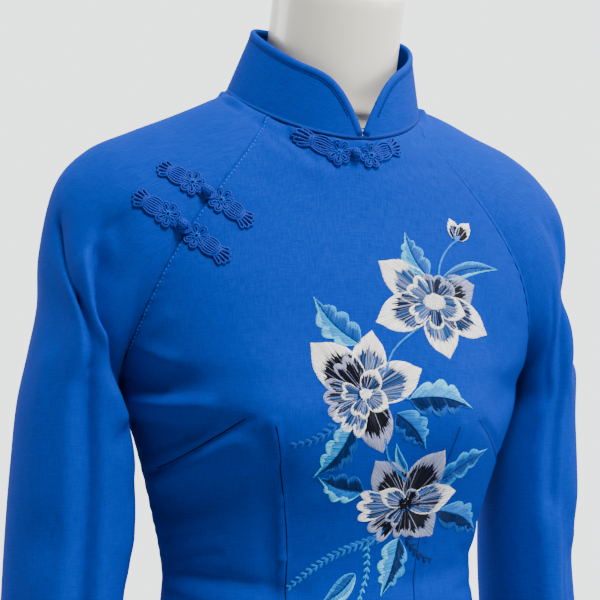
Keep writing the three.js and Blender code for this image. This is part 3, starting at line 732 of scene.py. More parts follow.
# Fine creases, listed one by one and uneven, that the solids leave to this cloth.
FRONT_CREASES = Table(FOLD_COLUMNS, [
    [-140, -289, -86, -245, 2.6, 2.2, 0.5], [-134, -294, -92, -261, 5, -1.8, 0],
    [-128, -306, -66, -282, 11, 5.6, 0], [-112, -354, -56, -364, 6, 3.4, 0.3],
    [-134, -270, -129, -263, 2.4, 1.0, 0], [-124, -264, -119, -256, 2.4, 0.9, 0],
    [-115, -258, -110, -250, 2.4, 0.9, 0], [150, -284, 92, -247, 3.2, 1.5, -0.45],
    [-70, -246, -64, -273, 2.3, -2.2, 0], [-64, -273, -57, -302, 2.3, -2.2, 0],
    [-57, -302, -51, -343, 2.3, -2.2, 0], [-51, -343, -50, -440, 2.3, -1.6, 0],
    [-77, -258, -66, -300, 6, 2.4, 0], [-66, -300, -57, -372, 6, 2.2, 0],
    [70, -248, 57, -330, 2.4, -1.3, 0], [57, -330, 54, -440, 2.4, -1.1, 0],
    [-151, -197, -132, -206, 6, -2.6, 0], [-152, -219, -134, -226, 5, 2.0, 0.3],
    [-147, -236, -112, -236, 6, -4.0, 0], [-147, -248, -112, -253, 5, 3.6, 0.3],
    [-146, -190, -134, -176, 6, -1.8, 0], [-56, -29, -47, -41, 3.2, 2.4, 0],
    [-122, -312, -88, -300, 6, 1.2, 0.3], [-119, -330, -96, -322, 5, 1.2, 0.3],
    [-117, -344, -94, -340, 4, 1.4, 0.3], [-117, -358, -92, -360, 4, 1.4, 0.3],
    [-119, -372, -96, -380, 5, 1.3, 0.3], [-123, -390, -100, -402, 6, 1.4, 0.3],
    [-70, -306, -20, -300, 10, -1.2, 0], [116, -322, 92, -316, 5, 1.2, 0.3],
    [116, -346, 94, -342, 5, 1.3, 0.3], [118, -368, 92, -372, 5, 1.2, 0.3],
    [-96, -66, -66, -78, 6, 0.8, 0], [-112, -92, -84, -100, 7, 1.0, 0],
    [-124, -116, -104, -124, 7, 1.0, 0], [-58, -54, -24, -72, 7, -1.0, 0],
    [60, -60, 30, -66, 6, 0.8, 0], [-46, -46, -30, -62, 3.5, 1.1, 0.3],
    [-30, -50, -14, -66, 3, 0.8, 0.3], [-60, -44, -46, -58, 3, 1.0, 0.3],
    [88, -120, 102, -190, 12, 1.4, 0.3], [128, -176, 112, -214, 8, 1.6, 0.3],
    [-146, -640, -160, -1270, 15, 7, 0.3], [-78, -780, -84, -1270, 17, -7, 0],
    [-36, -560, -54, -1270, 14, 5.5, 0.3], [6, -740, -6, -1270, 18, 5, -0.3],
    [92, -600, 100, -1270, 15, 6, -0.3], [120, -820, 124, -1270, 13, -6, 0],
    [166, -760, 172, -1270, 14, 5, 0],
])
BACK_CREASES = Table(FOLD_COLUMNS, [
    [-62, -190, -56, -330, 4, 0.9, 0], [-56, -330, -58, -440, 4, 0.9, 0],
    [62, -190, 56, -330, 4, 0.9, 0], [56, -330, 58, -440, 4, 0.9, 0],
    [-120, -330, -84, -322, 6, 1.4, 0], [119, -338, 86, -330, 6, 1.4, 0],
    [-116, -360, -50, -352, 6, 1.3, 0], [117, -366, 44, -358, 6, 1.3, 0],
    [-70, -376, 60, -384, 8, 1.2, 0], [-148, -196, -112, -190, 8, 2.2, 0],
    [146, -192, 110, -186, 8, 2.2, 0], [-40, -24, 44, -28, 7, 0.8, 0],
    [-124, -580, -146, -1270, 15, 7, 0.3], [-112, -760, -116, -1270, 16, -6, 0],
    [-28, -560, -42, -1270, 14, 5.5, 0.3], [58, -600, 74, -1270, 15, 6, -0.3],
    [92, -780, 98, -1270, 15, -6, 0], [150, -680, 160, -1270, 15, 6, 0.3],
])
# Across the sleeves, a0 and a1 are shares of the way round: -1 at the front seam, 1 at the back.
RIGHT_FOLDS = Table(FOLD_COLUMNS, [
    [-0.22, -120, -0.3, -330, 20, 4, 0], [-0.3, -330, -0.2, -600, 22, 3, 0],
    [-0.62, -118, -0.7, -205, 15, 8, 0], [-0.72, -235, -0.8, -330, 14, -4, 0],
    [0.42, -150, 0.5, -420, 22, 9, 0], [0.75, -230, 0.66, -400, 14, 5, 0],
    [-0.18, -112, -0.42, -165, 6, 4.5, 0.4], [-0.42, -165, -0.5, -210, 7, 5.5, 0.4],
    [-0.53, -226, -0.6, -540, 14, 11.5, -0.4], [-0.48, -140, -0.61, -190, 8, -4.0, 0],
    [-0.61, -190, -0.72, -244, 8, -4.5, 0], [-0.78, -250, -0.84, -350, 12, -3.0, 0],
    [-0.84, -250, -0.87, -410, 20, -6.2, 0], [-0.66, -148, -0.74, -190, 10, 7.0, 0.3],
    [-0.74, -190, -0.83, -232, 9, 9.0, 0.3], [-0.59, -130, -0.76, -147, 6, 3.2, 0],
    [-0.65, -108, -0.75, -134, 5, 2.2, 0], [-0.63, -119, -0.72, -133, 5, -1.6, 0],
    [-0.87, -158, -0.92, -205, 8, -4.0, 0], [-0.2, -210, -0.3, -420, 12, -2.6, 0],
    [-0.86, -236, -0.7, -262, 7, 2.4, 0.3], [-0.9, -262, -0.78, -300, 7, 1.8, 0.3],
    [-0.3, -452, 0.1, -470, 9, 2.4, 0.3], [-0.5, -486, -0.1, -498, 8, 2.0, 0.3],
    [0.2, -410, 0.7, -432, 9, 2.2, 0.3], [0.3, -120, 0.36, -260, 8, 2.0, 0.3],
    [-0.7, -420, -0.2, -436, 8, 1.8, 0.3], [0.9, -450, 0.5, -470, 8, 1.8, 0.3],
])
LEFT_FOLDS = Table(FOLD_COLUMNS, [
    [-0.34, -146, -0.1, -170, 15, 9, 0], [-0.5, -110, -0.52, -300, 17, 8, 0],
    [-0.3, -330, -0.42, -560, 20, 6, 0], [-0.14, -210, -0.24, -330, 14, -5, 0],
    [0.38, -140, 0.46, -430, 22, 9, 0], [0.74, -240, 0.62, -400, 14, 5, 0],
    [-0.6, -100, -0.56, -180, 6, 2.6, 0], [-0.74, -150, -0.66, -230, 6, 2.2, 0],
    [-0.02, -180, -0.3, -210, 7, 2.0, 0], [-0.36, -230, -0.44, -420, 8, 2.4, 0],
    [-0.66, -240, -0.58, -400, 9, -2.2, 0], [-0.2, -440, 0.3, -456, 9, 2.2, 0],
    [-0.5, -474, -0.1, -492, 8, 2.0, 0], [0.2, -400, 0.7, -420, 9, 2.2, 0],
    [0.3, -110, 0.34, -260, 8, 2.0, 0], [0.9, -440, 0.5, -462, 8, 1.8, 0],
])


def pressed_in(folds: Table, a: Array, z: Array, scale: float = 1.0) -> Array:
    """How deep a set of folds presses the cloth in.

    Args:
        folds: The folds, each a line with a width and a depth.
        a: Place across the cloth.
        z: Height.
        scale: Turns a share of the way round into millimetres.

    Returns:
        The depth in millimetres; a ridge is negative.
    """
    depth = np.zeros(np.shape(a))
    for a0, z0, a1, z1, width, deep, lean in folds.values:
        da, dz = (a1 - a0) * scale, z1 - z0
        a_in, z_in = a - a0 * scale, z - z0
        t = np.clip((a_in * da + z_in * dz) / (da * da + dz * dz), 0, 1)
        away = np.hypot(a_in - t * da, z_in - t * dz)
        side = (a_in * dz - z_in * da) / math.hypot(da, dz) / np.maximum(away, 1e-6)
        depth += deep * bell(away, width * (1 + lean * side))
    return depth


HALF_PANEL = 165.0
SLACK = 5.6  # room between the cloth and the form beneath it
ROW_AT_NECK = 24.0  # length of cloth in the row next to the neck


def seam_at(rows: Table, row: Array) -> Points:
    """The sewn edge of a panel, which turns a corner at the underarm."""
    r = rows.read(row, UNDERARM)
    return joined(r["edge_x"], r["edge_y"], r["edge_z"])


def plain_panel(rows: Table, row: Array, share: Array) -> Points:
    """A panel before its darts and folds.

    Args:
        rows: The panel's table.
        row: Row numbers, from the hem up.
        share: From -1 at the wearer's right edge to 1 at the left.

    Returns:
        Places in millimetres.
    """
    r = rows.read(row)
    turn = np.radians(r["turn"])
    across = np.sin(share * turn) / np.sin(turn)
    around = (1 - np.cos(share * turn)) / (1 - np.cos(turn))
    y, z = (r[f"centre_{k}"] + (r[f"edge_{k}"] - r[f"centre_{k}"]) * around for k in "yz")
    p = joined(r["edge_x"] * across, y, z)
    to_seam = seam_at(rows, row) - joined(r["edge_x"], r["edge_y"], r["edge_z"])
    to_seam[..., 0] *= np.sign(share)
    return p + to_seam * (share**8)[..., None]


def settled(depth: Array) -> Array:
    """Keeps cloth off the form beneath it, however many folds cross."""
    return np.where(depth > 0, SLACK * np.tanh(depth / SLACK), depth)


def seam_valley(share: Array, girth: float) -> Array:
    """How far cloth dips beside a seam, where both edges turn inside."""
    return 0.6 * bell((1 - np.abs(share)) * girth, 1.8)


def side_ease(p: Points, share: Array) -> Array:
    """How much more room the cloth has at the wearer's right side, above the waist."""
    return 4.0 * bell(p[..., 2] + 320, 62) * np.where(share < 0, share, 0) ** 4


def pucker(share: Array, along: Array, girth: float) -> Array:
    """Small uneven ripples that a seam's stitching draws up."""
    beat = np.sin(along * 0.62 + 1.7 * np.sin(along * 0.083)) * (0.55 + 0.45 * np.sin(along * 0.047 + 2))
    return 0.38 * beat * bell((1 - np.abs(share)) * girth - 5, 8)


def neck_roll(rows_left: Array, along: Array) -> Array:
    """The dip where the collar is sewn in, and the puffed, puckered ridge beside it."""
    away = rows_left * ROW_AT_NECK
    beat = 0.55 + 0.45 * np.sin(along * 0.21 + 2.2 * np.sin(along * 0.05))
    dip, ridge, valley = 0.8 * bell(away, 2.0), 2.4 * bell(away - 5.4, 2.8), 1.5 * bell(away - 10.5, 3.0)
    return dip + beat * (valley - ridge)


@dataclass(frozen=True)
class Bust:
    """The fullness that the darts give."""

    x: float = 76
    z: float = -246
    height: float = 13
    wide: float = 40
    tall: float = 46

    def at(self, x: Array, z: Array) -> Array:
        """How far the cloth stands forward."""
        both = bell(x - self.x, self.wide) + bell(x + self.x, self.wide)
        return self.height * both * bell(z - self.z, self.tall)


@dataclass(frozen=True)
class PanelCut:
    """One panel, cut in one from the neck to the hem: its shape, folds and fine creases."""

    rows: Table
    folds: Table
    creases: Table
    forward: int  # 1 for the front, which faces -Y
    bust: Bust
    beat: float  # where along the seams the puckers start

    def cloth(self, row: Array, share: Array) -> Points:
        """The middle of the panel's cloth.

        Args:
            row: Row numbers, from the hem up.
            share: From -1 at the wearer's right edge to 1 at the left.

        Returns:
            Places in millimetres.
        """
        p = plain_panel(self.rows, row, share)
        p[..., 0] -= side_ease(p, share)
        p[..., 1] -= self.bust.at(p[..., 0], p[..., 2])
        depth = pressed_in(self.folds, p[..., 0], p[..., 2]) * (1 - share**6)
        depth = settled(depth + pressed_in(self.creases, p[..., 0], p[..., 2]) * (1 - share**10))
        depth += seam_valley(share, HALF_PANEL) + pucker(share, p[..., 2] + self.beat, HALF_PANEL)
        roll = neck_roll(NECK_ROW - row, p[..., 0])
        p[..., 1] += self.forward * (depth + 0.4 * roll) * np.cos(share * HALF_TURN)
        p[..., 0] -= depth * np.sin(share * HALF_TURN)
        p[..., 2] -= 0.85 * roll
        return p


front_cloth = PanelCut(FRONT, FRONT_FOLDS, FRONT_CREASES, 1, Bust(), 0.0).cloth
back_cloth = PanelCut(BACK, BACK_FOLDS, BACK_CREASES, -1, Bust(height=0.0), 31.0).cloth


@dataclass(frozen=True)
class SleeveCut:
    """One raglan sleeve: its ridge over the shoulder, and the empty tube below."""

    side: int
    ridge: Table
    arm: Table
    folds: Table
    girth: float = 165.0
    underarm_gap: float = 2.2
    raglan_gap: float = -0.25

    def ring(self, station: Array, share: Array) -> Points:
        """One ring for whole station numbers: 0 is the underarm, above it open between the seams.

        Args:
            station: Whole numbers from the cuff to the neck.
            share: From -1 at the front seam over the ridge to 1 at the back seam.

        Returns:
            Places in millimetres, for the wearer's left side.
        """
        below = self.arm.values[np.clip(station + ARM_ROWS, 0, ARM_ROWS)]
        x, y, low, high, wide, deep = np.moveaxis(below, -1, 0)
        c, s = np.cos(share * np.pi), np.sin(share * np.pi)
        tube = joined(x + wide * c, y + deep * s, (low + high) / 2 + (high - low) / 2 * c)
        k = np.clip(station, 1, SLEEVE_ROWS)
        top = self.ridge.values[k - 1]
        turn = np.radians(top[..., 3])
        front, back = FRONT.values[k + UNDERARM][..., :3], BACK.values[k + UNDERARM][..., :3]
        crown, chord = top[..., :3], (back - front) / 2
        up = crown - front - chord
        across = (np.sin(share * turn) / np.sin(turn))[..., None]
        around = ((1 - np.cos(share * turn)) / (1 - np.cos(turn)))[..., None]
        return np.where((station <= 0)[..., None], tube, crown + chord * across - up * around)

    def loft(self, at: Array, share: Array) -> Points:
        """The smooth surface through all rings."""
        t = np.clip(at, -ARM_ROWS, SLEEVE_ROWS)
        k = np.minimum(np.floor(t).astype(int), SLEEVE_ROWS - 1)
        a, b = self.ring(k, share), self.ring(k + 1, share)
        before = self.ring(np.maximum(k - 1, -ARM_ROWS), share)
        before = np.where((k > -ARM_ROWS)[..., None], before, 2 * a - b)
        after = self.ring(np.minimum(k + 2, SLEEVE_ROWS), share)
        after = np.where((k + 2 <= SLEEVE_ROWS)[..., None], after, 2 * b - a)
        return smooth(before, a, b, after, (t - k)[..., None])

    def cloth(self, at: Array, share: Array) -> Points:
        """The middle of the sleeve's cloth, with its folds.

        Args:
            at: From -9 at the cuff over 0 at the underarm to 7 at the neck.
            share: From -1 at the front seam to 1 at the back seam.

        Returns:
            Places in millimetres.
        """
        at, share = np.broadcast_arrays(np.asarray(at, float), np.asarray(share, float))
        p = self.loft(at, share)
        weight = (np.abs(share) ** 8)[..., None]
        high = np.maximum(at, 0)
        front, back = (seam_at(rows, high + UNDERARM) for rows in (FRONT, BACK))
        seam = np.where((share < 0)[..., None], front, back)
        loose = self.loft(high, np.where(share < 0, -1.0, 1.0))
        out = unit(self.loft(high, np.zeros_like(share)) - seam)
        gap = self.raglan_gap + (self.underarm_gap - self.raglan_gap) * bell(high, 1.0)
        above = seam - loose + out * gap[..., None]
        below = seam - loose + [self.underarm_gap, 0.0, 0.0]
        p = p + np.where((at > 0)[..., None], above, below * np.clip(1 + at, 0, 1)[..., None]) * weight
        depth = pressed_in(self.folds, share * self.girth, p[..., 2], self.girth) * (1 - share**6)
        sewn = rise(at, 0, 0.6)
        depth += (seam_valley(share, self.girth) + pucker(share, at * 26, self.girth)) * sewn
        depth += neck_roll(SLEEVE_ROWS - at, share * 60 + 90) * sewn
        turned = share * np.pi
        opened = high / SLEEVE_ROWS
        p[..., 0] -= depth * np.cos(turned) * (1 - opened)
        p[..., 1] -= depth * np.sin(turned)
        p[..., 2] -= depth * opened
        p[..., 0] *= self.side
        return p


SLEEVE_RIGHT = SleeveCut(-1, RIDGE_RIGHT, ARM_RIGHT, RIGHT_FOLDS)
SLEEVE_LEFT = SleeveCut(1, RIDGE_LEFT, ARM_LEFT, LEFT_FOLDS)


@dataclass(frozen=True)
class CollarCut:
    """A stand collar with two rounded front corners that meet in a V."""

    height: float = 46
    thickness: float = 2.2
    top_half_width: float = 59
    top_half_depth: float = 55
    top_y: float = -17
    top_rise: float = 41.5
    corner_turn: float = 40
    corner_height: float = 1.5
    lift: float = 0.4
    opening: float = 5
    v_gap: float = 0.5

    def height_at(self, turn: Array) -> Array:
        """The collar's height at a turn from the V, round the back to the V again."""
        from_v = np.minimum(np.abs(turn), 2 * np.pi - np.abs(turn))
        part = np.minimum(from_v / np.radians(self.corner_turn), 1)
        return self.corner_height + (self.height - self.corner_height) * (1 - (1 - part) ** 3)

    def cloth(self, height: Array, turn: Array) -> Points:
        """The middle of the collar at a height and a turn."""
        angle = turn + np.radians(self.opening)
        foot = NECK.at(angle)
        x, y = self.top_half_width * np.sin(angle), self.top_y - self.top_half_depth * np.cos(angle)
        top = joined(x, y, foot[..., 2] + self.top_rise)
        return foot + (top - foot) * (height / self.height)[..., None]

    def sheet(self, part: Array, turn: Array) -> Points:
        """The collar by share of its own height."""
        top = self.height_at(turn)
        return self.cloth(self.lift + part * (top - self.lift), turn)

    def turns(self, count: int) -> Array:
        """Turns from one side of the V to the other, closer together at the corners."""
        part = np.linspace(0, 1, count)
        gap = np.radians(self.v_gap)
        return gap + (2 * np.pi - 2 * gap) * part - np.radians(9) * np.sin(2 * np.pi * part)


COLLAR = CollarCut()


# ---- laying things on the cloth
@dataclass
class Patch:
    """A flat patch held against the cloth, from which shapes are pressed onto it."""

    surface: Surface
    start: Pair
    origin: Points
    right: Points
    up: Points
    out: Points

    tries = 9  # steps towards the cloth behind a place, each no longer than the strides
    row_stride = 0.6
    share_stride = 0.2
    past_edge = 1.04

    @classmethod
    def facing(cls, surface: Surface, x: float, z: float, start: Pair) -> "Patch":
        """A patch where the cloth lies at x and z, seen from the front, turned to the cloth.

        Args:
            surface: The cloth.
            x: Place across.
            z: Height.
            start: Surface parameters near there.

        Returns:
            The patch.
        """
        front = cls.upright(surface, start, x, z)
        (row, share), p = front.find(np.zeros(1), np.zeros(1))
        out = front.normal(row, share)[0]
        right = unit(np.cross([0.0, 0.0, 1.0], out))
        right = right if right[0] > 0 else -right
        up = np.cross(out, right)
        up = up if up[2] > 0 else -up
        return cls(surface, (row[0], share[0]), p[0], right, up, out)

    @classmethod
    def upright(cls, surface: Surface, start: Pair, x: float = 0.0, z: float = 0.0) -> "Patch":
        """A patch in the upright plane that faces the front."""
        right, back, up = np.eye(3)
        return cls(surface, start, np.array([x, 0.0, z]), right, up, -back)

    def find(self, a: Array, b: Array) -> tuple[tuple[Array, Array], Points]:
        """Finds the cloth straight behind places on the patch.

        Args:
            a: Places to the right, in millimetres.
            b: Places up.

        Returns:
            The surface parameters and the places on the cloth.
        """
        row = np.full(np.shape(a), float(self.start[0]))
        share = np.full(np.shape(a), float(self.start[1]))
        step, tiny = 1e-3, 1e-6
        for _ in range(self.tries):
            p = self.surface(row, share)
            pr = (self.surface(row + step, share) - p) / step
            ps = (self.surface(row, share + step) - p) / step
            da = a - (p - self.origin) @ self.right
            db = b - (p - self.origin) @ self.up
            ra, rb = pr @ self.right, pr @ self.up
            sa, sb = ps @ self.right, ps @ self.up
            area = ra * sb - rb * sa
            area = np.where(np.abs(area) < tiny, tiny, area)
            row = row + np.clip((da * sb - db * sa) / area, -self.row_stride, self.row_stride)
            share = share + np.clip((ra * db - rb * da) / area, -self.share_stride, self.share_stride)
            share = np.clip(share, -self.past_edge, self.past_edge)
        return (row, share), self.surface(row, share)

    def normal(self, row: Array, share: Array) -> Points:
        """The cloth's outward normal."""
        step = 2e-3
        dr = self.surface(row + step, share) - self.surface(row - step, share)
        ds = self.surface(row, share + step) - self.surface(row, share - step)
        n = unit(np.cross(ds, dr))
        toward = np.sign(np.sum(n * self.out, axis=-1, keepdims=True))
        return n * np.where(toward == 0, 1, toward)

    def toward(self, other: "Patch") -> Pair:
        """The heading and the distance of another patch, in this one's plane."""
        way = other.origin - self.origin
        a, b = float(way @ self.right), float(way @ self.up)
        return math.atan2(b, a), math.hypot(a, b)

    def lay(self, a: Array, b: Array, lift: Array | float) -> Points:
        """Lays places a to the right and b up on the cloth, lifted from its middle."""
        (row, share), p = self.find(np.asarray(a, float), np.asarray(b, float))
        return p + self.normal(row, share) * np.broadcast_to(lift, np.shape(a))[..., None]


class Assembly:
    """What every sub-assembly shares: its finishes and how it puts its pieces on the body."""

    def __init__(self, finishes: Finishes, spinner: Spinner) -> None:
        """Keeps the tools."""
        self.finishes = finishes
        self.spinner = spinner

    @staticmethod
    def hand_in(piece: Object, slot: str, *nodes: str) -> Object:
        """Makes a piece ride on the body, in place of its solids.

        Args:
            piece: The finished piece.
            slot: Not used.
            *nodes: The solids that it stands for.

        Returns:
            The piece.
        """
        if nodes:
            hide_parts(*nodes)
        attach(piece, BODY)
        return piece

    def twine(
        self, name: str, paths: Iterable[Points], finish: Material, slot: str, *nodes: str, **how
    ) -> Object:
        """Lays strands along paths as a finished piece, in place of its solids."""
        return self.hand_in(self.spinner.spin(name, paths, finish, **how), slot, *nodes)

    def stitch(
        self, name: str, paths: Iterable[Points], finish: Material,
        pitch: float = 3.4, length: float = 2.2, radius: float = 0.22,
    ) -> Object:
        """Sews lines of stitches as a finished piece, their sizes in millimetres."""
        sizes = {"pitch": pitch * MM, "length": length * MM, "radius": radius * MM}
        return self.twine(name, paths, finish, "crepe", strand=Strand.STITCHES, **sizes)


@dataclass(frozen=True)
class ClothGrid:
    """How finely the cloth is drawn."""

    columns: int = 141
    skirt_rows: int = 40
    body_rows: int = 205
    thickness: float = 1.0

    def shares(self) -> Array:
        """Columns from edge to edge, closer together at the seams."""
        t = np.linspace(-1, 1, self.columns)
        return np.sign(t) * (1.12 * np.abs(t) - 0.12 * np.abs(t) ** 8)

    def rows(self) -> Array:
        """Rows from the hem to the neck, closer together above the waist."""
        skirt = np.linspace(0, SLIT_ROW, self.skirt_rows, endpoint=False)
        return np.concatenate([skirt, np.linspace(SLIT_ROW, NECK_ROW, self.body_rows)])


class Body(Assembly):
    """Front and back panels with their darts, hems and slits."""

    grid = ClothGrid()
    back_grid = ClothGrid(columns=101, body_rows=150)
    hem_inset = 0.045
    hem_row = 0.07
    thread_lift = 0.05
    bust_dart = ((-130.0, -280.9), (-113.0, -267.0), (-86.0, -245.0))
    waist_dart = ((-68.0, -250.0), (-61.6, -273.0), (-54.6, -302.0), (-48.6, -343.0), (-47.6, -440.0))

    def build(self) -> list[Object]:
        """Builds both panels and the stitching that goes on them."""
        made = []
        panels = (("front", front_cloth, self.grid), ("back", back_cloth, self.back_grid))
        for name, surface, grid in panels:
            rows, shares = grid.rows(), grid.shares()
            piece, area = wall(f"{name}_cloth", rows, shares, surface, grid.thickness, self.finishes.crepe)
            self.hand_in(piece, "crepe", f"{name}_panel")
            made.append(piece)
        made += self.darts()
        made.append(self.hems())
        return made

    def line(self, surface: Surface, rows: Array, shares: Array) -> Points:
        """A line on the outside of a panel."""
        out = Patch.upright(surface, (0, 0)).normal(rows, shares)
        height = self.grid.thickness / 2 + self.thread_lift
        return surface(rows, shares) + out * (height if surface is front_cloth else -height)

    def darts(self) -> list[Object]:
        """The sewn line of each dart, a thin welt down the middle of its crease, coloured with painted
        shade: near-black on the wearer's right, the darker seam colour on the left.
        """
        made = []
        # painted shade: the wearer's right darts get a near-black thread for the shadow inside their folds
        for name, side, finish in (("right", 1, self.finishes.fold), ("left", -1, self.finishes.seam)):
            upright = Patch.upright(front_cloth, (11.0, -0.5 * side))
            paths = []
            for line in (self.bust_dart, self.waist_dart):
                across, up = (rounded(np.array(line), 15) * [side, 1]).T
                paths.append(upright.lay(across, up, self.grid.thickness / 2 - self.thread_lift))
            made.append(self.twine(f"dart_seams_{name}", paths, finish, "crepe", radius=0.5 * MM, sides=6))
        return made

    def hems(self) -> Object:
        """The stitched hems along the bottom and up both slits."""
        paths = []
        inset = 1 - self.hem_inset
        for surface in (front_cloth, back_cloth):
            shares = np.linspace(-inset, inset, 160)
            paths.append(self.line(surface, np.full(160, self.hem_row), shares))
            rows = np.linspace(self.hem_row, SLIT_ROW, 200)
            for side in (-1, 1):
                paths.append(self.line(surface, rows, np.full(200, side * inset)))
        return self.stitch("hem_stitches", paths, self.finishes.topstitch)


class Sleeves(Assembly):
    """Two raglan sleeves, the topstitched opening and the cuff hems."""

    thickness = 1.0
    thread_lift = 0.1
    opening = -0.972  # share of the front panel where its topstitching runs
    hem_row = -8.78

    def build(self) -> list[Object]:
        """Builds both sleeves and their stitching."""
        made = []
        crepe = self.finishes.crepe
        for name, cut, columns in (("sleeve_right", SLEEVE_RIGHT, 121), ("sleeve_left", SLEEVE_LEFT, 91)):
            arm = np.linspace(-ARM_ROWS, 0, columns)[:-1]
            rows = np.concatenate([arm, np.linspace(0, SLEEVE_ROWS, columns)])
            shares = np.linspace(-1, 1, columns)
            piece, area = wall(f"{name}_cloth", rows, shares, cut.cloth, self.thickness, crepe, 0.0)
            self.hand_in(piece, "crepe", name)
            made.append(piece)
        made.append(self.topstitching())
        made.append(self.cuffs())
        return made

    def topstitching(self) -> Object:
        """Light stitches beside the right raglan seam, where the front opens."""
        rows = np.linspace(UNDERARM + 0.1, NECK_ROW - 0.1, 220)
        shares = np.full(220, self.opening)
        out = Patch.upright(front_cloth, (0, 0)).normal(rows, shares)
        path = front_cloth(rows, shares) + out * (self.thickness / 2 + self.thread_lift)
        return self.stitch("raglan_stitches", [path], self.finishes.topstitch, 3.2, 1.7, 0.3)

    def cuffs(self) -> Object:
        """A line of hem stitches round each cuff."""
        paths = []
        for cut in (SLEEVE_RIGHT, SLEEVE_LEFT):
            shares = np.linspace(-1, 1, 120)
            ring = cut.cloth(np.full(120, self.hem_row), shares)
            out = unit((ring - ring.mean(0)) * [1, 1, 0])
            paths.append(ring + out * (self.thickness / 2 + self.thread_lift))
            paths[-1][-1] = paths[-1][0]
        return self.stitch("cuff_stitches", paths, self.finishes.topstitch)


class Collar(Assembly):
    """The stand collar, its rolled edge, the roll at its foot, and the hook and eye."""

    band_height = 3.0
    band_thickness = 1.9
    band_rise = 0.9
    stitch_drop = 5.4
    foot_out = 0.6
    foot_down = 0.55
    hook = ((-6, 0, 0), (-2.5, 0, 0.2), (0.6, 0, 0.2), (1.9, 0.2, 0.2), (2.2, 1.2, 0.2), (0.8, 1.8, 0.2))
    eye = (
        (6.6, 0, 1.9), (4.4, 0, 1.9), (3.4, 0, 1.2), (3.2, 0, 0.2), (3.4, 0, -0.8), (4.4, 0, -1.5),
        (6.6, 0, -1.5),
    )
    wire_radius = 0.5

    def build(self) -> list[Object]:
        """Builds the collar and what is sewn to it."""
        turns = COLLAR.turns(301)
        parts = np.linspace(0, 1, 25)
        band, _ = wall("collar_cloth", parts, turns, COLLAR.sheet, COLLAR.thickness, self.finishes.crepe)
        self.hand_in(band, "crepe", "collar")
        return [band, self.rolled_edge(turns), self.edge_stitches(), self.foot_roll(), *self.fastening()]

    @staticmethod
    def edge_frame(turns: Array) -> tuple[Points, Points, Points]:
        """The collar's edge, with the ways up and out from it.

        Args:
            turns: Turns from the V.

        Returns:
            Places, unit vectors away from the band and unit vectors outwards.
        """
        height = COLLAR.height_at(turns)
        edge = COLLAR.cloth(height, turns)
        step = 1e-3
        along = unit(COLLAR.cloth(COLLAR.height_at(turns + step), turns + step) - edge)
        up = unit(edge - COLLAR.cloth(height - 5, turns))
        out = unit(np.cross(along, up))
        out *= np.sign(np.sum(out * (edge - [0.0, NECK.y, 0.0]), axis=-1, keepdims=True))
        return edge, unit(up - along * np.sum(up * along, axis=-1, keepdims=True)), out

    def rolled_edge(self, turns: Array) -> Object:
        """The bound edge, a flat roll folded over the top of the collar."""
        angle = np.linspace(0, 2 * np.pi, 14, endpoint=False)
        middle, up, out = self.edge_frame(turns)
        across = self.band_thickness * np.cos(angle)
        height = self.band_height * np.sin(angle)
        foot = middle + up * (self.band_rise - self.band_height)
        rings = foot[:, None] + up[:, None] * height[:, None] + out[:, None] * across[:, None]
        u, v = np.meshgrid(walked(foot), angle * self.band_height, indexing="ij")
        roll = loft("collar_roll", rings, self.finishes.crepe, joined(u, v) * MM)
        return self.hand_in(roll, "crepe", "collar_binding")

    def edge_stitches(self) -> Object:
        """The stitching just under the roll."""
        edge, up, out = self.edge_frame(COLLAR.turns(300)[6:-6])
        path = edge - up * self.stitch_drop + out * (COLLAR.thickness / 2 + 0.02)
        return self.stitch("collar_stitches", [path], self.finishes.seam, 2.6, 2.3, 0.34)

    def foot_roll(self) -> Object:
        """The tight seam roll where the collar is sewn in, its darker colour painted shade."""
        turn = np.linspace(0, 2 * np.pi, 400)
        angle = turn + np.radians(COLLAR.opening)
        out = unit(joined(np.sin(angle), -np.cos(angle), np.zeros_like(angle)))
        path = NECK.at(angle) + out * self.foot_out - [0, 0, self.foot_down]
        path[-1] = path[0]
        return self.twine("neck_seam_roll", [path], self.finishes.seam, "crepe", radius=1.15 * MM, sides=10)

    def fastening(self) -> list[Object]:
        """The wire hook and eye behind the V."""
        v = COLLAR.cloth(np.array(COLLAR.corner_height + 6), np.array(0.0)) + [0, 3, 0]
        made, how = [], {"radius": self.wire_radius * MM, "sides": 8}
        for name, path in (("hook", self.hook), ("eye", self.eye)):
            bent = rounded(v + np.array(path), 4)
            made.append(self.twine(name, [bent], self.finishes.wire, "hook_wire", f"collar_{name}", **how))
        return made


def turned(flat: Array, angle: float) -> Array:
    """Turns flat places about the middle by an angle in radians."""
    c, s = math.cos(angle), math.sin(angle)
    return joined(flat[..., 0] * c - flat[..., 1] * s, flat[..., 0] * s + flat[..., 1] * c)


def rounded(points: Points, steps: int) -> Points:
    """Rounds a path through its points.

    Args:
        points: The path's points.
        steps: New points for each old stretch.

    Returns:
        The rounded path.
    """
    table = Table(" ".join("xyz"[: points.shape[1]]), points)
    out = table.read(np.linspace(0, len(points) - 1, (len(points) - 1) * steps + 1))
    return np.stack([out[name] for name in table.names], -1)


# ---- frogs
@dataclass(frozen=True)
class FrogHalf:
    """One half of a frog: where its flower and finger tips lie, seen from the front."""

    name: str
    flower: Pair
    tip: Pair
    surface: Surface
    start: Pair
    turn: float = 0.0


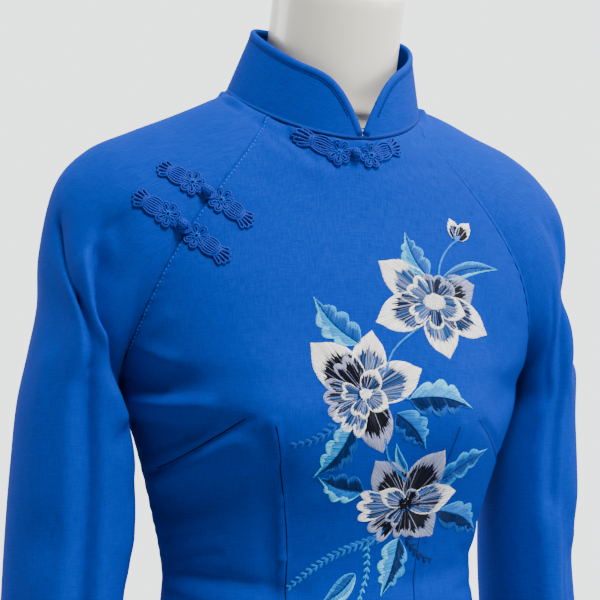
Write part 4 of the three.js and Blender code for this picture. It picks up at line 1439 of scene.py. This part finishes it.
class Frogs(Assembly):
    """Three frogs of sewn satin cord: flowers, hands of finger loops and ball knots."""

    cord_radius = 0.78
    petals = 7
    flower_radius = 8.2
    knot_radius = 3.4
    fingers = ((-5.4, 0.62), (-3.0, 0.88), (-0.2, 1.0), (2.8, 0.82), (5.0, 0.58))  # spread and reach
    halves = (
        FrogHalf("neck_right", (-12, -56), (-44, -43), front_cloth, (19.0, -0.1)),
        FrogHalf("neck_left", (12, -57), (37, -47.5), front_cloth, (19.0, 0.1), 20.0),
        FrogHalf("upper_outer", (-117, -82), (-140, -70), SLEEVE_RIGHT.cloth, (3.6, -0.7), 10.0),
        FrogHalf("upper_inner", (-97.5, -94), (-76.5, -111.5), front_cloth, (17.5, -0.8), 33.0),
        FrogHalf("lower_outer", (-135, -105), (-158, -91), SLEEVE_RIGHT.cloth, (2.8, -0.7), 5.0),
        FrogHalf("lower_inner", (-115, -120), (-93.5, -137), front_cloth, (16.6, -0.8), 28.0),
    )

    def build(self) -> list[Object]:
        """Builds the six halves and three knots."""
        self.stars: list[Points] = []
        made = [self.half(h) for h in self.halves]
        thread = self.finishes.topstitch
        made.append(self.twine("frog_stars", self.stars, thread, "cord", radius=0.22 * MM, sides=5))
        for outer, inner in zip(self.halves[::2], self.halves[1::2]):
            made.append(self.knot(outer, inner))
        return made

    def flower(self, spin: float) -> list[Array]:
        """Cord loops of the flower, as flat paths of right, up and height.

        Args:
            spin: Degrees that the first petal is turned.

        Returns:
            The paths.
        """
        paths = []
        loop = np.linspace(0, 2 * np.pi, 21)
        c, s = np.cos(loop), np.sin(loop)
        for k in range(self.petals):
            way = np.radians(spin + k * 360 / self.petals)
            for reach, deep, wide, height in ((5.4, 3.5, 2.9, 0.0), (4.7, 2.5, 1.35, 0.4)):
                flat = turned(joined(reach + deep * c, wide * s * (0.78 + 0.3 * c)), way)
                paths.append(np.column_stack([flat, height + 0.35 * c]))
        paths.append(joined(1.9 * c, 1.9 * s, 0.7))
        return paths

    def hand(self, length: float) -> list[Array]:
        """The bundled waist and the finger loops, towards positive right.

        Args:
            length: From the flower's middle to the finger tips.

        Returns:
            The paths.
        """
        paths = []
        waist = self.flower_radius + 0.5 * (length - self.flower_radius)
        for k, wide in enumerate((6.2, 4.4, 2.6, 0.9)):
            t = np.linspace(0, 1, 15)
            swell = wide * np.sin(np.pi * (0.2 + 0.68 * t))
            for side in (1, -1):
                reach = 4.5 + t * (waist + 1.5 - 4.5)
                paths.append(joined(reach, side * swell, 0.15 * k + 0.4 * t))
        for spread, reach in self.fingers:
            tip = waist + (length - 0.8 - waist) * reach
            there, back = (
                [
                    [waist - 2, 0.6 * spread + side * 0.6, 0.6],
                    [waist + 1.0, 0.75 * spread + side * 1.1, 0.2],
                    [tip - 1.4, spread + side * 1.3, 0.0],
                ]
                for side in (1, -1)
            )
            end = [tip, spread + 0.5 * spread / 5.4, 0.1]
            paths.append(rounded(np.array([*there, end, *back[::-1]]), 4))
        arc = np.linspace(-1, 1, 9)
        paths.append(joined(waist - 1 - 0.8 * arc**2, arc * 4.2, 1.5 - 1.5 * arc**4))
        return paths

    def star(self) -> list[Array]:
        """Light stitches that hold the flower's heart."""
        ways = np.radians(np.arange(9) * 40.0)
        inner, outer = 0.9 + 0 * ways, 3.3 + 0.5 * np.cos(3 * ways)
        c, s = np.cos(ways), np.sin(ways)
        ends = [joined(r * c, r * s, z) for r, z in ((inner, 1.75), (outer, 1.2))]
        return list(np.stack(ends, 1))

    def half(self, half: FrogHalf) -> Object:
        """Builds one half on the cloth."""
        patch = Patch.facing(half.surface, *half.flower, half.start)
        way, length = patch.toward(Patch.facing(half.surface, *half.tip, half.start))
        lift = 0.5 + self.cord_radius  # half the cloth's thickness, and the cord's own
        laid, star = [], self.star()
        for path in self.flower(half.turn) + self.hand(length) + star:
            flat = turned(path[:, :2], way)
            laid.append(patch.lay(flat[:, 0], flat[:, 1], lift + path[:, 2]))
        self.stars += laid[-len(star) :]
        return self.cords(f"frog_{half.name}", laid[: -len(star)])

    def cords(self, node: str, paths: list[Points]) -> Object:
        """Satin cord along paths, in place of one solid."""
        radius = self.cord_radius * MM
        return self.twine(f"{node}_cord", paths, self.finishes.cord, "cord", node, radius=radius, sides=8)

    def knot(self, outer: FrogHalf, inner: FrogHalf) -> Object:
        """A ball knot wound from three sets of turns, in the loop that it closes."""
        ends = [Patch.facing(h.surface, *h.flower, h.start) for h in (outer, inner)]
        out = unit(ends[0].out + ends[1].out)
        middle = (ends[0].origin + ends[1].origin) / 2 + out * (self.knot_radius + 1.2)
        across = unit(ends[1].origin - ends[0].origin)
        side = np.cross(out, across)
        loop = np.linspace(0, 2 * np.pi, 25)[:, None]
        c, s = np.cos(loop), np.sin(loop)
        paths = []
        for axis, u, v in ((out, across, side), (across, side, out), (side, out, across)):
            for offset in (-1.7, 0.0, 1.7):
                radius = math.sqrt((self.knot_radius - 0.4) ** 2 - offset**2)
                paths.append(middle + offset * axis + radius * (c * u + s * v))
        foot = middle - out * (self.knot_radius - 0.6)
        for radius in (4.3, 5.4):
            paths.append(foot + radius * (c * across * 1.25 + s * side * 0.8))
        return self.cords(f"knot_{outer.name.split('_')[0]}", paths)


# ---- embroidery
class Silk(Enum):
    """The silk colours."""

    WHITE = "#ffffff"
    SILVER = "#9aa2c8"
    ICE = "#4cc8f8"
    AQUA = "#0094e2"
    SKY = "#006cd0"
    CYAN = "#0050ae"
    STEEL = "#24569a"
    NAVY = "#030d2e"
    INK = "#01040e"
    DEEP = "#02245c"


WHITE, SILVER, ICE, AQUA, SKY, CYAN, STEEL, NAVY, INK, DEEP = Silk

# the silks that are sewn side by side in a petal's heart, with the share of each
STREAKS = {
    STEEL: ((STEEL, 0.5), (NAVY, 0.28), (SILVER, 0.22)),
    NAVY: ((NAVY, 0.66), (STEEL, 0.2), (SILVER, 0.14)),
    INK: ((INK, 0.74), (NAVY, 0.16), (SILVER, 0.1)),
}


class Shape(Enum):
    """How a petal ends."""

    POINTED = "pointed"
    LOBED = "lobed"


POINTED, LOBED = Shape


@dataclass(frozen=True)
class Petal:
    """One petal: its heading, reach and half width, its silks, how it ends and how high it lies."""

    heading: float
    reach: float
    wide: float
    heart: Silk
    rim: Silk = WHITE
    shape: Shape = POINTED
    layer: float = 0.0
    lobes: int = 1
    foot: float = 3.0


@dataclass(frozen=True)
class Flower:
    """One flower: its place, its petals from the lowest up, and the size of its seeded heart."""

    name: str
    x: float
    z: float
    petals: tuple[Petal, ...]
    seeds: Pair
    heart: Silk = WHITE


@dataclass(frozen=True)
class Leaf:
    """One leaf from foot to tip, seen from the front: half width, and the silks of its two halves."""

    foot: Pair
    tip: Pair
    wide: float
    lobes: float = 3.0
    left: tuple[Silk, Silk] = (ICE, AQUA)
    right: tuple[Silk, Silk] = (AQUA, CYAN)


@dataclass(frozen=True)
class Spray:
    """A fern spray from foot to tip, with its bend and silk."""

    foot: Pair
    tip: Pair
    silk: Silk
    bend: float = 0.0
    barb: float = 6.0


DARK_HALF = (CYAN, DEEP)
UPPER_FLOWER = Flower("upper", 54, -162, (
    Petal(144, 50, 14, STEEL),
    Petal(198, 49, 14, NAVY, layer=0.1),
    Petal(-79, 42, 13.5, STEEL),
    Petal(-25, 50, 13, NAVY, layer=0.1),
    Petal(22, 39, 14, INK, SILVER),
    Petal(86, 21, 12, NAVY, SILVER, LOBED, 0.5, 2),
    Petal(140, 23, 11, STEEL, WHITE, LOBED, 0.6, 2),
    Petal(40, 21, 9, NAVY, SILVER, LOBED, 0.65),
    Petal(212, 22, 9, STEEL, WHITE, LOBED, 0.65, 2),
    Petal(-18, 27, 9, STEEL, WHITE, layer=0.7),
    Petal(-88, 20, 8, NAVY, WHITE, LOBED, 0.75),
), (9.0, 5.6))
MIDDLE_FLOWER = Flower("middle", -3, -228, (
    Petal(81, 46, 13, STEEL),
    Petal(23, 47, 14, STEEL, layer=0.1),
    Petal(137, 52, 16, INK, layer=0.1),
    Petal(-70, 42, 13, INK, SILVER),
    Petal(238, 30, 17, STEEL, WHITE, LOBED, 0.2, 3),
    Petal(186, 31, 17, NAVY, SILVER, LOBED, 0.3, 3),
    Petal(128, 30, 10, INK, SILVER, LOBED, 0.6, 2),
    Petal(172, 18, 8, STEEL, WHITE, LOBED, 0.8, 2),
    Petal(-110, 17, 9, STEEL, WHITE, LOBED, 0.8, 2),
    Petal(62, 20, 8, NAVY, WHITE, layer=0.9),
    Petal(-28, 19, 8, STEEL, WHITE, layer=0.9),
), (4.2, 3.2))
LOWER_FLOWER = Flower("lower", 34, -304, (
    Petal(133, 43, 14, INK, SILVER),
    Petal(62, 47, 14, INK, SILVER, layer=0.1),
    Petal(9, 43, 12, STEEL, layer=0.2),
    Petal(-42, 38, 13, INK, SILVER, layer=0.1),
    Petal(184, 37, 15, STEEL, WHITE, LOBED, 0.3, 3),
    Petal(228, 33, 12, INK, SILVER, LOBED, 0.4, 2),
    Petal(-88, 26, 9, INK, SILVER, LOBED, 0.5, 2),
    Petal(158, 24, 7, STEEL, WHITE, layer=0.8),
    Petal(-126, 19, 8, NAVY, SILVER, LOBED, 0.8, 2),
    Petal(60, 12, 8, INK, SILVER, LOBED, 0.9),
), (4.8, 4.0), INK)


class Embroidery(Assembly):
    """Flowers, leaves, stems and sprays in long and short stitch."""

    thread_radius = 0.33
    spacing = 0.58
    lift = 0.62
    tints = (0.66, 1.2)  # the darkest and the lightest thread of one silk
    overlap = 0.05  # how far back into the last silk a thread starts
    band_drop = 0.08
    arch = ((0.0, -0.4), (0.2, 0.05), (0.8, 0.05), (1.0, -0.4))  # share along a thread, height there
    flowers = (UPPER_FLOWER, MIDDLE_FLOWER, LOWER_FLOWER)
    leaves = (
        Leaf((50, -144), (35, -112), 8, 2.5),
        Leaf((63, -144), (110, -136), 5.5, 0.0, (AQUA, CYAN), (ICE, CYAN)),
        Leaf((-5, -193), (-37, -161), 10),
        Leaf((30, -231), (78, -237), 11, 3.0, (ICE, AQUA), DARK_HALF),
        Leaf((20, -241), (43, -265), 9.5, 2.5, (AQUA, SKY), DARK_HALF),
        Leaf((-12, -250), (-37, -285), 9.5, 3.0, DARK_HALF, (ICE, AQUA)),
        Leaf((0, -295), (-34, -285), 9, 2.5, (ICE, SKY), DARK_HALF),
        Leaf((56, -289), (100, -266), 9, 3.0, (AQUA, CYAN), (AQUA, CYAN)),
        Leaf((62, -310), (108, -329), 10, 2.5, (AQUA, SKY), DARK_HALF),
        Leaf((32, -329), (20, -370), 10, 2.5, (AQUA, DEEP), (ICE, AQUA)),
        Leaf((0, -354), (-24, -374), 7, 0.0),
        Leaf((31, -282), (21, -262), 3.2, 0.0),
    )
    sprays = (
        Spray((-20, -246), (-52, -262), CYAN, 0.1, 8.0),
        Spray((18, -327), (-44, -362), SKY, -0.08, 7.0),
        Spray((8, -334), (2, -374), AQUA, 0.1, 5.0),
        Spray((38, -329), (60, -345), DEEP, -0.1, 7.0),
    )
    stems = (
        ((58.5, -146), (61, -134), (68, -123), (77, -115.5)),
        ((40, -181), (26, -191), (18, -200), (13, -212)),
        ((12, -258), (16, -272), (24, -281), (32, -288)),
        ((30, -231), (18, -229)),
        ((0, -295), (14, -296)),
        ((56, -289), (44, -297)),
        ((8, -334), (16, -326), (24, -318)),
    )

    def __init__(self, finishes: Finishes, spinner: Spinner) -> None:
        """Starts the seeded unevenness of the hand."""
        super().__init__(finishes, spinner)
        self.rng = np.random.default_rng(SEED)

    def build(self) -> list[Object]:
        """Builds each motif as its own piece."""
        made = [self.sew(f"flower_{f.name}", [(self.patch(f.x, f.z), self.flower(f))]) for f in self.flowers]
        made.append(self.sew("leaves", [self.along(leaf, self.leaf) for leaf in self.leaves]))
        made.append(self.sew("sprays", [self.along(spray, self.spray) for spray in self.sprays]))
        stems = [(self.flat_patch(), self.stem_work()), (self.patch(81, -110), self.bud())]
        return [*made, self.sew("stems", stems)]

    @staticmethod
    def patch(x: float, z: float) -> Patch:
        """The patch that a motif is drawn on."""
        row = float(np.interp(z, [-450, -357, -244, -180, -98, -44], [7, 9, 12, 15, 18, 20]))
        return Patch.facing(front_cloth, x, z, (row, x / 140))

    def flat_patch(self) -> Patch:
        """A patch in the upright plane, for lines given by places seen from the front."""
        return Patch.upright(front_cloth, self.patch(30.0, -220.0).start)

    def along(self, motif: Leaf | Spray, draw: Callable) -> tuple[Patch, list[tuple]]:
        """Draws a motif from its foot to its tip.

        Args:
            motif: The leaf or spray.
            draw: Makes its threads for a length, along positive right.

        Returns:
            Its patch and threads.
        """
        patch = self.patch(*motif.foot)
        way, length = patch.toward(self.patch(*motif.tip))
        return patch, [(turned(p, way), turned(q, way), *rest) for p, q, *rest in draw(motif, length)]

    def threads(self, starts: Array, ends: Array, silk: Silk, height: float) -> tuple:
        """Threads of one silk, each a little lighter or darker.

        Args:
            starts: Flat places where the threads come up.
            ends: Flat places where they go down.
            silk: Their colour.
            height: Extra height above the cloth.

        Returns:
            Starts, ends, colours and height.
        """
        tint = self.rng.uniform(*self.tints, (len(starts), 1))
        silks, shares = zip(*STREAKS.get(silk, ((silk, 1.0),)))
        picked = self.rng.choice(len(silks), len(starts), p=shares)
        colour = np.clip(np.array([linear(s.value)[:3] for s in silks])[picked] * tint, 0, 1)
        return starts, ends, np.column_stack([colour, np.ones(len(starts))]), height

    def banded(
        self, edge: Array, base: Array, bands: Sequence, height: float, ragged: float = 0.11
    ) -> list[tuple]:
        """Long and short stitches from an edge to a base, one silk after another.

        Args:
            edge: Flat places on the edge.
            base: Flat places that the stitches lead to.
            bands: Each silk and the share of the way where it ends.
            height: Extra height above the cloth.
            ragged: How far the silks reach into each other.

        Returns:
            Thread tuples.
        """
        out = []
        begin = np.zeros(len(edge))
        for k, (silk, end) in enumerate(bands):
            uneven = self.rng.uniform(-ragged, ragged, len(edge)) * (k < len(bands) - 1)
            finish = np.clip(end + uneven, 0.04, 1)
            start = edge + (base - edge) * np.maximum(begin - self.overlap, 0)[:, None]
            stop = edge + (base - edge) * finish[:, None]
            out.append(self.threads(start, stop, silk, height - self.band_drop * k))
            begin = finish
        return out

    def even(self, outline: Array, skip: float = 0.0) -> Array:
        """Places on an outline, one thread apart, set a little unevenly.

        Args:
            outline: Flat places.
            skip: Share of the outline to leave out at its start.

        Returns:
            Flat places.
        """
        steps = walked(outline)
        at = np.linspace(steps[-1] * skip, steps[-1], max(4, int(steps[-1] * (1 - skip) / self.spacing)))
        edge = read_off(outline, steps, at)
        return edge + self.rng.normal(0, 0.1, edge.shape)

    def petal(self, petal: Petal) -> list[tuple]:
        """One petal, sewn from its rim towards its foot."""
        if petal.shape is POINTED:
            t = np.linspace(0, 1, 160)
            half = t**0.75 * (1 - t) ** 0.8 * (1 - 0.45 * bell(1 - t, 0.12))
            half *= petal.wide / half.max()
            rims = [self.even(joined(t * petal.reach, side * half), 0.14) for side in (1, -1)]
            shares = [0.14 + 0.22 * rise(rim[:, 0] / petal.reach, 0.45, 1.0) for rim in rims]
        else:
            opening = math.asin(min(0.95, petal.wide / petal.reach))
            angle = np.linspace(-opening, opening, 120)
            scallop = np.abs(np.sin((angle / opening + 1) / 2 * np.pi * petal.lobes)) ** 0.5
            radius = petal.reach * (0.8 + 0.2 * scallop) * (1 - 0.25 * (angle / opening) ** 8)
            rims = [self.even(joined(radius * np.cos(angle), radius * np.sin(angle)))]
            shares = [0.2 + 0 * rims[0][:, 0]]
        out = []
        way = math.radians(petal.heading)
        for rim, share in zip(rims, shares):
            foot = joined(petal.foot + 0.16 * (rim[:, 0] - petal.foot), 0.34 * rim[:, 1])
            silks = ((petal.rim, share), (petal.heart, 1.0))
            for starts, ends, *rest in self.banded(rim, foot, silks, petal.layer):
                out.append((turned(starts, way), turned(ends, way), *rest))
        return out

    def flower(self, flower: Flower) -> list[tuple]:
        """Every petal, and the seeded heart."""
        out = [work for petal in flower.petals for work in self.petal(petal)]
        angle = self.rng.uniform(0, 2 * np.pi, 110)
        away = np.sqrt(self.rng.uniform(0, 1, 110))[:, None]
        band = np.linspace(-0.95, 0.95, int(3 * flower.seeds[1]))
        reach = joined(flower.seeds[0] * np.sqrt(1 - band**2), 0 * band)
        middle = joined(0 * band, flower.seeds[1] * band)
        seeds = away * joined(flower.seeds[0] * np.cos(angle), flower.seeds[1] * np.sin(angle))
        out.append(self.threads(middle - reach, middle + reach, flower.heart, 1.3))
        out.append(self.threads(seeds, seeds + self.rng.normal(0, 0.9, seeds.shape), flower.heart, 2.2))
        return out

    def bud(self) -> list[tuple]:
        """A closed flower of two petals."""
        petals = (
            Petal(104, 17, 4.6, NAVY, foot=0.5),
            Petal(48, 18, 5.6, INK, foot=0.5, layer=0.2),
        )
        out = [work for petal in petals for work in self.petal(petal)]
        cup = np.linspace(-1, 1, 12)
        tips = joined(2.6 * cup + 0.5, 4.2 - 2 * cup**2)
        out.append(self.threads(np.zeros((12, 2)) - [1.5, 1.5], tips, SKY, 0.4))
        return [(p - [4, 6], q - [4, 6], *rest) for p, q, *rest in out]

    def leaf(self, leaf: Leaf, length: float) -> list[tuple]:
        """A leaf along positive right, lobed or plain, with two unlike halves.

        Args:
            leaf: The leaf.
            length: From foot to tip.

        Returns:
            Thread tuples.
        """
        out = []
        t = np.linspace(0, 1, 160)
        shape = t**0.5 * (1 - t) ** 1.05
        lobe = 0.5 + 0.5 * np.abs(np.sin(np.pi * leaf.lobes * t / 0.76)) ** 0.5
        lobe = np.where(t > 0.76, 0.52, lobe) if leaf.lobes else 0.78 + 0 * t
        half = 1.25 * leaf.wide * shape / shape.max() * lobe
        rib = joined(t * length, 0.08 * length * np.sin(np.pi * t))
        for side, (rim, heart) in ((1, leaf.left), (-1, leaf.right)):
            slant = 0.17 * length * np.sin(np.pi * t) ** 0.6 * (1 - t)
            edge = self.even(rib + joined(slant, side * half))
            back = edge[:, 0] - 0.2 * length * np.abs(edge[:, 1]) / leaf.wide
            base = read_off(rib, t, np.clip(back / length, 0.0, 1.0))
            out += self.banded(edge, base, ((rim, 0.36), (heart, 1.0)), 0.1, 0.1)
        spine = rib[::16]
        out.append(self.threads(spine[:-1], spine[1:], DEEP, 0.45))
        return out

    def spray(self, spray: Spray, length: float) -> list[tuple]:
        """A bent rib along positive right, with pairs of small leaves.

        Args:
            spray: The spray.
            length: From foot to tip.

        Returns:
            Thread tuples.
        """
        t = np.linspace(0, 1, max(6, int(length / 4.2)))
        rib = joined(t * length, spray.bend * length * np.sin(np.pi * t))
        out = [self.threads(rib[:-1], rib[1:], spray.silk, 0.1)]
        for side in (1, -1):
            for k in range(4):
                way = side * np.radians(44 - 5 * k) + 0 * t
                size = spray.barb * (1 - 0.45 * t) * (1 - 0.12 * abs(k - 1.5))
                tips = rib + size[:, None] * joined(np.cos(way), np.sin(way))
                out.append(self.threads(rib + [0.35 * k, 0], tips + [0.2 * k, 0], spray.silk, 0.1))
        return out

    def stem_work(self) -> list[tuple]:
        """Stems of four threads side by side."""
        out = []
        for stem in self.stems:
            line = rounded(np.array(stem), 8)
            side = unit(np.gradient(line, axis=0))[:, ::-1] * [1, -1]
            for k, silk in enumerate((CYAN, SKY, AQUA, SKY)):
                at = line + side * 0.45 * (k - 1.5)
                out.append(self.threads(at[:-1], at[1:], silk, 0.3))
        return out

    def lay_threads(self, patch: Patch, work: list[tuple]) -> tuple[Points, Array]:
        """Lays every thread of a motif on the cloth, arched a little.

        Args:
            patch: Where the motif is drawn.
            work: Its thread tuples.

        Returns:
            (thread, point, 3) paths and a colour for each.
        """
        starts, ends, colours = (np.concatenate([w[k] for w in work]) for k in range(3))
        high = np.concatenate([np.full(len(w[0]), w[3]) for w in work])
        along, arch = np.array(self.arch).T
        flat = starts[:, None] + (ends - starts)[:, None] * along[None, :, None]
        lift = self.lift + 0.5 * high[:, None] + arch[None]
        return patch.lay(flat[..., 0], flat[..., 1], lift), colours

    def sew(self, name: str, motifs: list[tuple[Patch, list[tuple]]]) -> Object:
        """Sews motifs as one piece.

        Args:
            name: The piece's name.
            motifs: Each motif's patch and threads.

        Returns:
            The piece.
        """
        laid = [self.lay_threads(patch, work) for patch, work in motifs]
        paths, colours = (np.concatenate([item[k] for item in laid]) for k in (0, 1))
        how = {"colours": colours, "radius": self.thread_radius * MM, "sides": 4}
        return self.twine(f"silk_{name}", list(paths), self.finishes.silk, "cord", **how)


# ---- form and stand
FORM = Table("z half_width front back slope power", [
    [70.5, 49, -79.7, 12.3, 0.364, 2],
    [46, 49, -71, 21, 0.364, 2],
    [20, 49.5, -61.5, 31, 0.36, 2],
    [2, 51, -55, 41, 0.3, 2],
    [-12, 57, -52, 50, 0.2, 1.9],
    [-23, 80, -48, 54, 0.1, 1.6],
    [-32, 112, -46, 58, 0.05, 1.4],
    [-39.3, 147, -46, 62, 0, 1.3],
    [-54, 164, -50, 66, 0, 1.4],
    [-72, 174, -56, 70, 0, 1.5],
    [-96, 176, -62, 76, 0, 1.6],
    [-125, 168, -72, 82, 0, 1.8],
    [-155, 154, -82, 86, 0, 2],
    [-185, 145, -90, 86, 0, 2],
    [-215, 143, -96, 84, 0, 2.1],
    [-245, 137, -96, 82, 0, 2.1],
    [-280, 127, -88, 76, 0, 2],
    [-318, 117, -76, 66, 0, 2],
    [-357, 110, -68, 60, 0, 2],
    [-400, 115, -71, 68, 0, 2],
    [-450, 127, -79, 84, 0, 2],
    [-520, 143, -88, 100, 0, 2],
    [-600, 152, -92, 105, 0, 2],
    [-650, 150, -90, 102, 0, 2],
    [-660, 144, -84, 96, 0, 2],
])


class DressForm(Assembly):
    """The limbless form under the cloth: torso, neck and cap."""

    neck_radius = 49.0
    cap_radius = 46.0
    # how far inside the neck, and how far along it, the rings of the rounded edges lie
    edge = ((2.1, 0.0), (1.05, -0.1), (0.42, -0.5), (0.105, -1.4))
    cap = ((0.2, 0.1), (0.0, 0.4), (0.0, 1.8), (0.3, 2.5), (1.2, 3.0), (3.0, 3.3), (20.0, 3.4))

    def ring(self, at: Array, inset: Array | float = 0.0, lift: Array | float = 0.0) -> Points:
        """Level sections of the form, tilted as the neck is.

        Args:
            at: Row numbers of the table.
            inset: How far inside the form's surface.
            lift: How far beyond the section, square to it.

        Returns:
            (ring, corner, 3) places.
        """
        r = {k: v[:, None] for k, v in FORM.read(np.asarray(at, float)).items()}
        inset = np.broadcast_to(inset, np.shape(at))[:, None]
        lift = np.broadcast_to(lift, np.shape(at))[:, None]
        angle = np.linspace(0, 2 * np.pi, 160, endpoint=False)[None]
        s, c = np.sin(angle), np.cos(angle)
        bulge = (np.abs(s) ** r["power"] + np.abs(c) ** r["power"]) ** (-1 / r["power"])
        y = -c * bulge * ((r["back"] - r["front"]) / 2 - inset)
        x = s * bulge * (r["half_width"] - inset)
        tilt = 1 / np.sqrt(1 + r["slope"] ** 2)
        middle = (r["front"] + r["back"]) / 2
        z = r["z"] + r["slope"] * y + lift * tilt
        return joined(x, middle + y - lift * r["slope"] * tilt, z)

    def build(self) -> list[Object]:
        """Builds the torso and its cap."""
        rows = np.linspace(0, len(FORM.values) - 1, 170)
        top = self.ring(np.zeros(len(self.edge)), *np.array(self.edge).T)
        body = self.ring(rows[2:])
        torso = loft("form_shell", np.concatenate([top, body]), self.finishes.form)
        self.hand_in(torso, "form_shell", "form_torso")
        inset, lift = np.array(self.cap).T
        rings = self.ring(np.zeros(len(self.cap)), self.neck_radius - self.cap_radius + inset, lift)
        cap = loft("neck_cap", rings, self.finishes.cap)
        return [torso, self.hand_in(cap, "form_cap", "form_neck_cap")]


class Stand(Assembly):
    """The pole with its flanges, and the round base that rests on the floor."""

    corner_share = 0.02  # how far before a corner the extra ring lies that keeps it crisp
    base_profile = (
        (0.0, 0.0), (165, 0), (168.5, 0.6), (170, 2.5), (169.4, 5), (166, 8.4), (120, 10.8), (40, 13.6),
        (0, 14),
    )
    pole_profile = (
        (0.0, 14.3), (30, 14.3), (30, 21), (28.5, 23), (20, 26.5), (15, 33), (14, 38), (14, 720),
        (15.5, 724), (30, 731), (34, 734), (34, 739.7), (0, 739.7),
    )

    def turned(self, name: str, profile: Sequence[Pair], node: str) -> Object:
        """Turns a profile of radius and height into a piece.

        Args:
            name: The piece's name.
            profile: Radius and height above the floor, from the axis to the axis.
            node: The solid that it stands for.

        Returns:
            The piece.
        """
        angle = np.linspace(0, 2 * np.pi, 144, endpoint=False)
        c, s = np.cos(angle), np.sin(angle)
        rings = []
        for before, here in zip(profile, profile[1:-1]):
            for share in (self.corner_share, 0.0):
                r, z = (b * share + h * (1 - share) for b, h in zip(before, here))
                rings.append(joined(r * c, r * s, z - NECK_HEIGHT))
        return self.hand_in(loft(name, np.array(rings), self.finishes.steel), "steel", node)

    def build(self) -> list[Object]:
        """Builds the pole and the base."""
        return [
            self.turned("pole", self.pole_profile, "stand_pole"),
            self.turned("base_plate", self.base_profile, "stand_base"),
        ]


# ---- studio
@dataclass(frozen=True)
class Lamp:
    """One soft light: where it stands, what it faces, its size and power."""

    name: str
    place: tuple[float, float, float]
    target: tuple[float, float, float]
    size: float
    power: float
    colour: str


class Studio:
    """Floor, soft lights, pale surroundings and the camera."""

    azimuth = math.radians(-18.3)
    elevation = math.radians(-3.3)
    roll = math.radians(0.6)
    distance = 1.249
    target = (-0.024, -0.02, NECK_HEIGHT * MM - 0.159)
    lens = 102.0
    lamps = (
        Lamp("ceiling", (0.1, -1.05, 2.85), (0.0, 0.0, 1.2), 0.6, 92.0, "#fffaf4"),
        Lamp("window", (2.2, -1.0, 1.8), (0.0, 0.0, 1.2), 1.2, 40.0, "#f6f8ff"),
        Lamp("rim", (-1.8, 1.2, 1.9), (0.0, 0.0, 1.2), 1.2, 34.0, "#fbfbff"),
    )
    dark_side = 0.02  # brightness of the room behind the camera
    wall_light = 2.5  # and of the pale wall behind the form
    window_light = 1.9  # and of the wall to its left
    backdrop = 2.9  # how bright the walls look

    def __init__(self, finishes: Finishes) -> None:
        """Keeps the finishes."""
        self.finishes = finishes

    def build(self) -> None:
        """Sets up everything round the object."""
        self.floor()
        for lamp in self.lamps:
            self.light(lamp)
        self.surroundings()
        self.camera()

    def floor(self) -> None:
        """A plain pale floor."""
        half = 6000.0
        corners = [[x * half, y * half, -NECK_HEIGHT] for x, y in ((-1, -1), (1, -1), (1, 1), (-1, 1))]
        make_object("floor", np.array(corners), [[0, 1, 2, 3]], self.finishes.floor)

    @staticmethod
    def light(lamp: Lamp) -> None:
        """Adds one soft light."""
        data = bpy.data.lights.new(lamp.name, "AREA")
        data.shape = "DISK"
        data.size = lamp.size
        data.energy = lamp.power
        data.color = linear(lamp.colour)[:3]
        made = bpy.data.objects.new(lamp.name, data)
        made.location = lamp.place
        way = Vector(lamp.target) - Vector(lamp.place)
        made.rotation_euler = way.to_track_quat("-Z", "Y").to_euler()
        bpy.context.scene.collection.objects.link(made)

    @staticmethod
    def surroundings() -> None:
        """A pale, even room."""
        world = bpy.data.worlds.new("pale_room")
        world.use_nodes = True
        tree = world.node_tree
        way = add_node(tree, "ShaderNodeTexCoord").outputs["Generated"]
        parts = add_node(tree, "ShaderNodeSeparateXYZ", {0: way})
        strength: NodeSocket | float = Studio.dark_side
        for axis, light in (("Y", Studio.wall_light), ("X", Studio.window_light)):
            ahead = add_node(tree, "ShaderNodeMath", {0: parts.outputs[axis], 1: 0.0}, operation="MAXIMUM")
            terms = {0: ahead.outputs[0], 1: light, 2: strength}
            strength = add_node(tree, "ShaderNodeMath", terms, operation="MULTIPLY_ADD").outputs[0]
        seen = add_node(tree, "ShaderNodeLightPath").outputs["Is Camera Ray"]
        pale = add_node(tree, "ShaderNodeMix", {"Factor": seen, "A": strength, "B": Studio.backdrop})
        background = tree.nodes["Background"]
        background.inputs["Color"].default_value = linear("#f4f7f8")
        tree.links.new(pale.outputs[0], background.inputs["Strength"])
        bpy.context.scene.world = world

    def camera(self) -> None:
        """The camera, a little below the shoulders and to the wearer's right."""
        level = math.cos(self.elevation)
        x, y = math.sin(self.azimuth) * level, -math.cos(self.azimuth) * level
        back = Vector((x, y, math.sin(self.elevation)))
        right = (-back).cross(Vector((0, 0, 1))).normalized()
        up = right.cross(-back)
        rolled_right = right * math.cos(self.roll) + up * math.sin(self.roll)
        rolled_up = up * math.cos(self.roll) - right * math.sin(self.roll)
        data = bpy.data.cameras.new("camera")
        data.lens = self.lens
        data.clip_end = 50
        made = bpy.data.objects.new("camera", data)
        turn = Matrix((rolled_right, rolled_up, back)).transposed().to_4x4()
        made.matrix_world = Matrix.Translation(Vector(self.target) + back * self.distance) @ turn
        bpy.context.scene.collection.objects.link(made)
        bpy.context.scene.camera = made


def main() -> None:
    """Builds the studio and the object, sub-assembly by sub-assembly."""
    logging.basicConfig(level=logging.INFO, format="%(name)s %(message)s")
    finishes = Finishes()
    spinner = Spinner()
    Studio(finishes).build()
    for kind in (Body, Sleeves, Collar, Frogs, Embroidery, DressForm, Stand):
        for piece in kind(finishes, spinner).build():
            triangles = sum(len(face.vertices) - 2 for face in piece.data.polygons)
            LOG.info("%s %s: %d triangles", kind.__name__, piece.name, triangles)


if __name__ == "__main__":
    main()
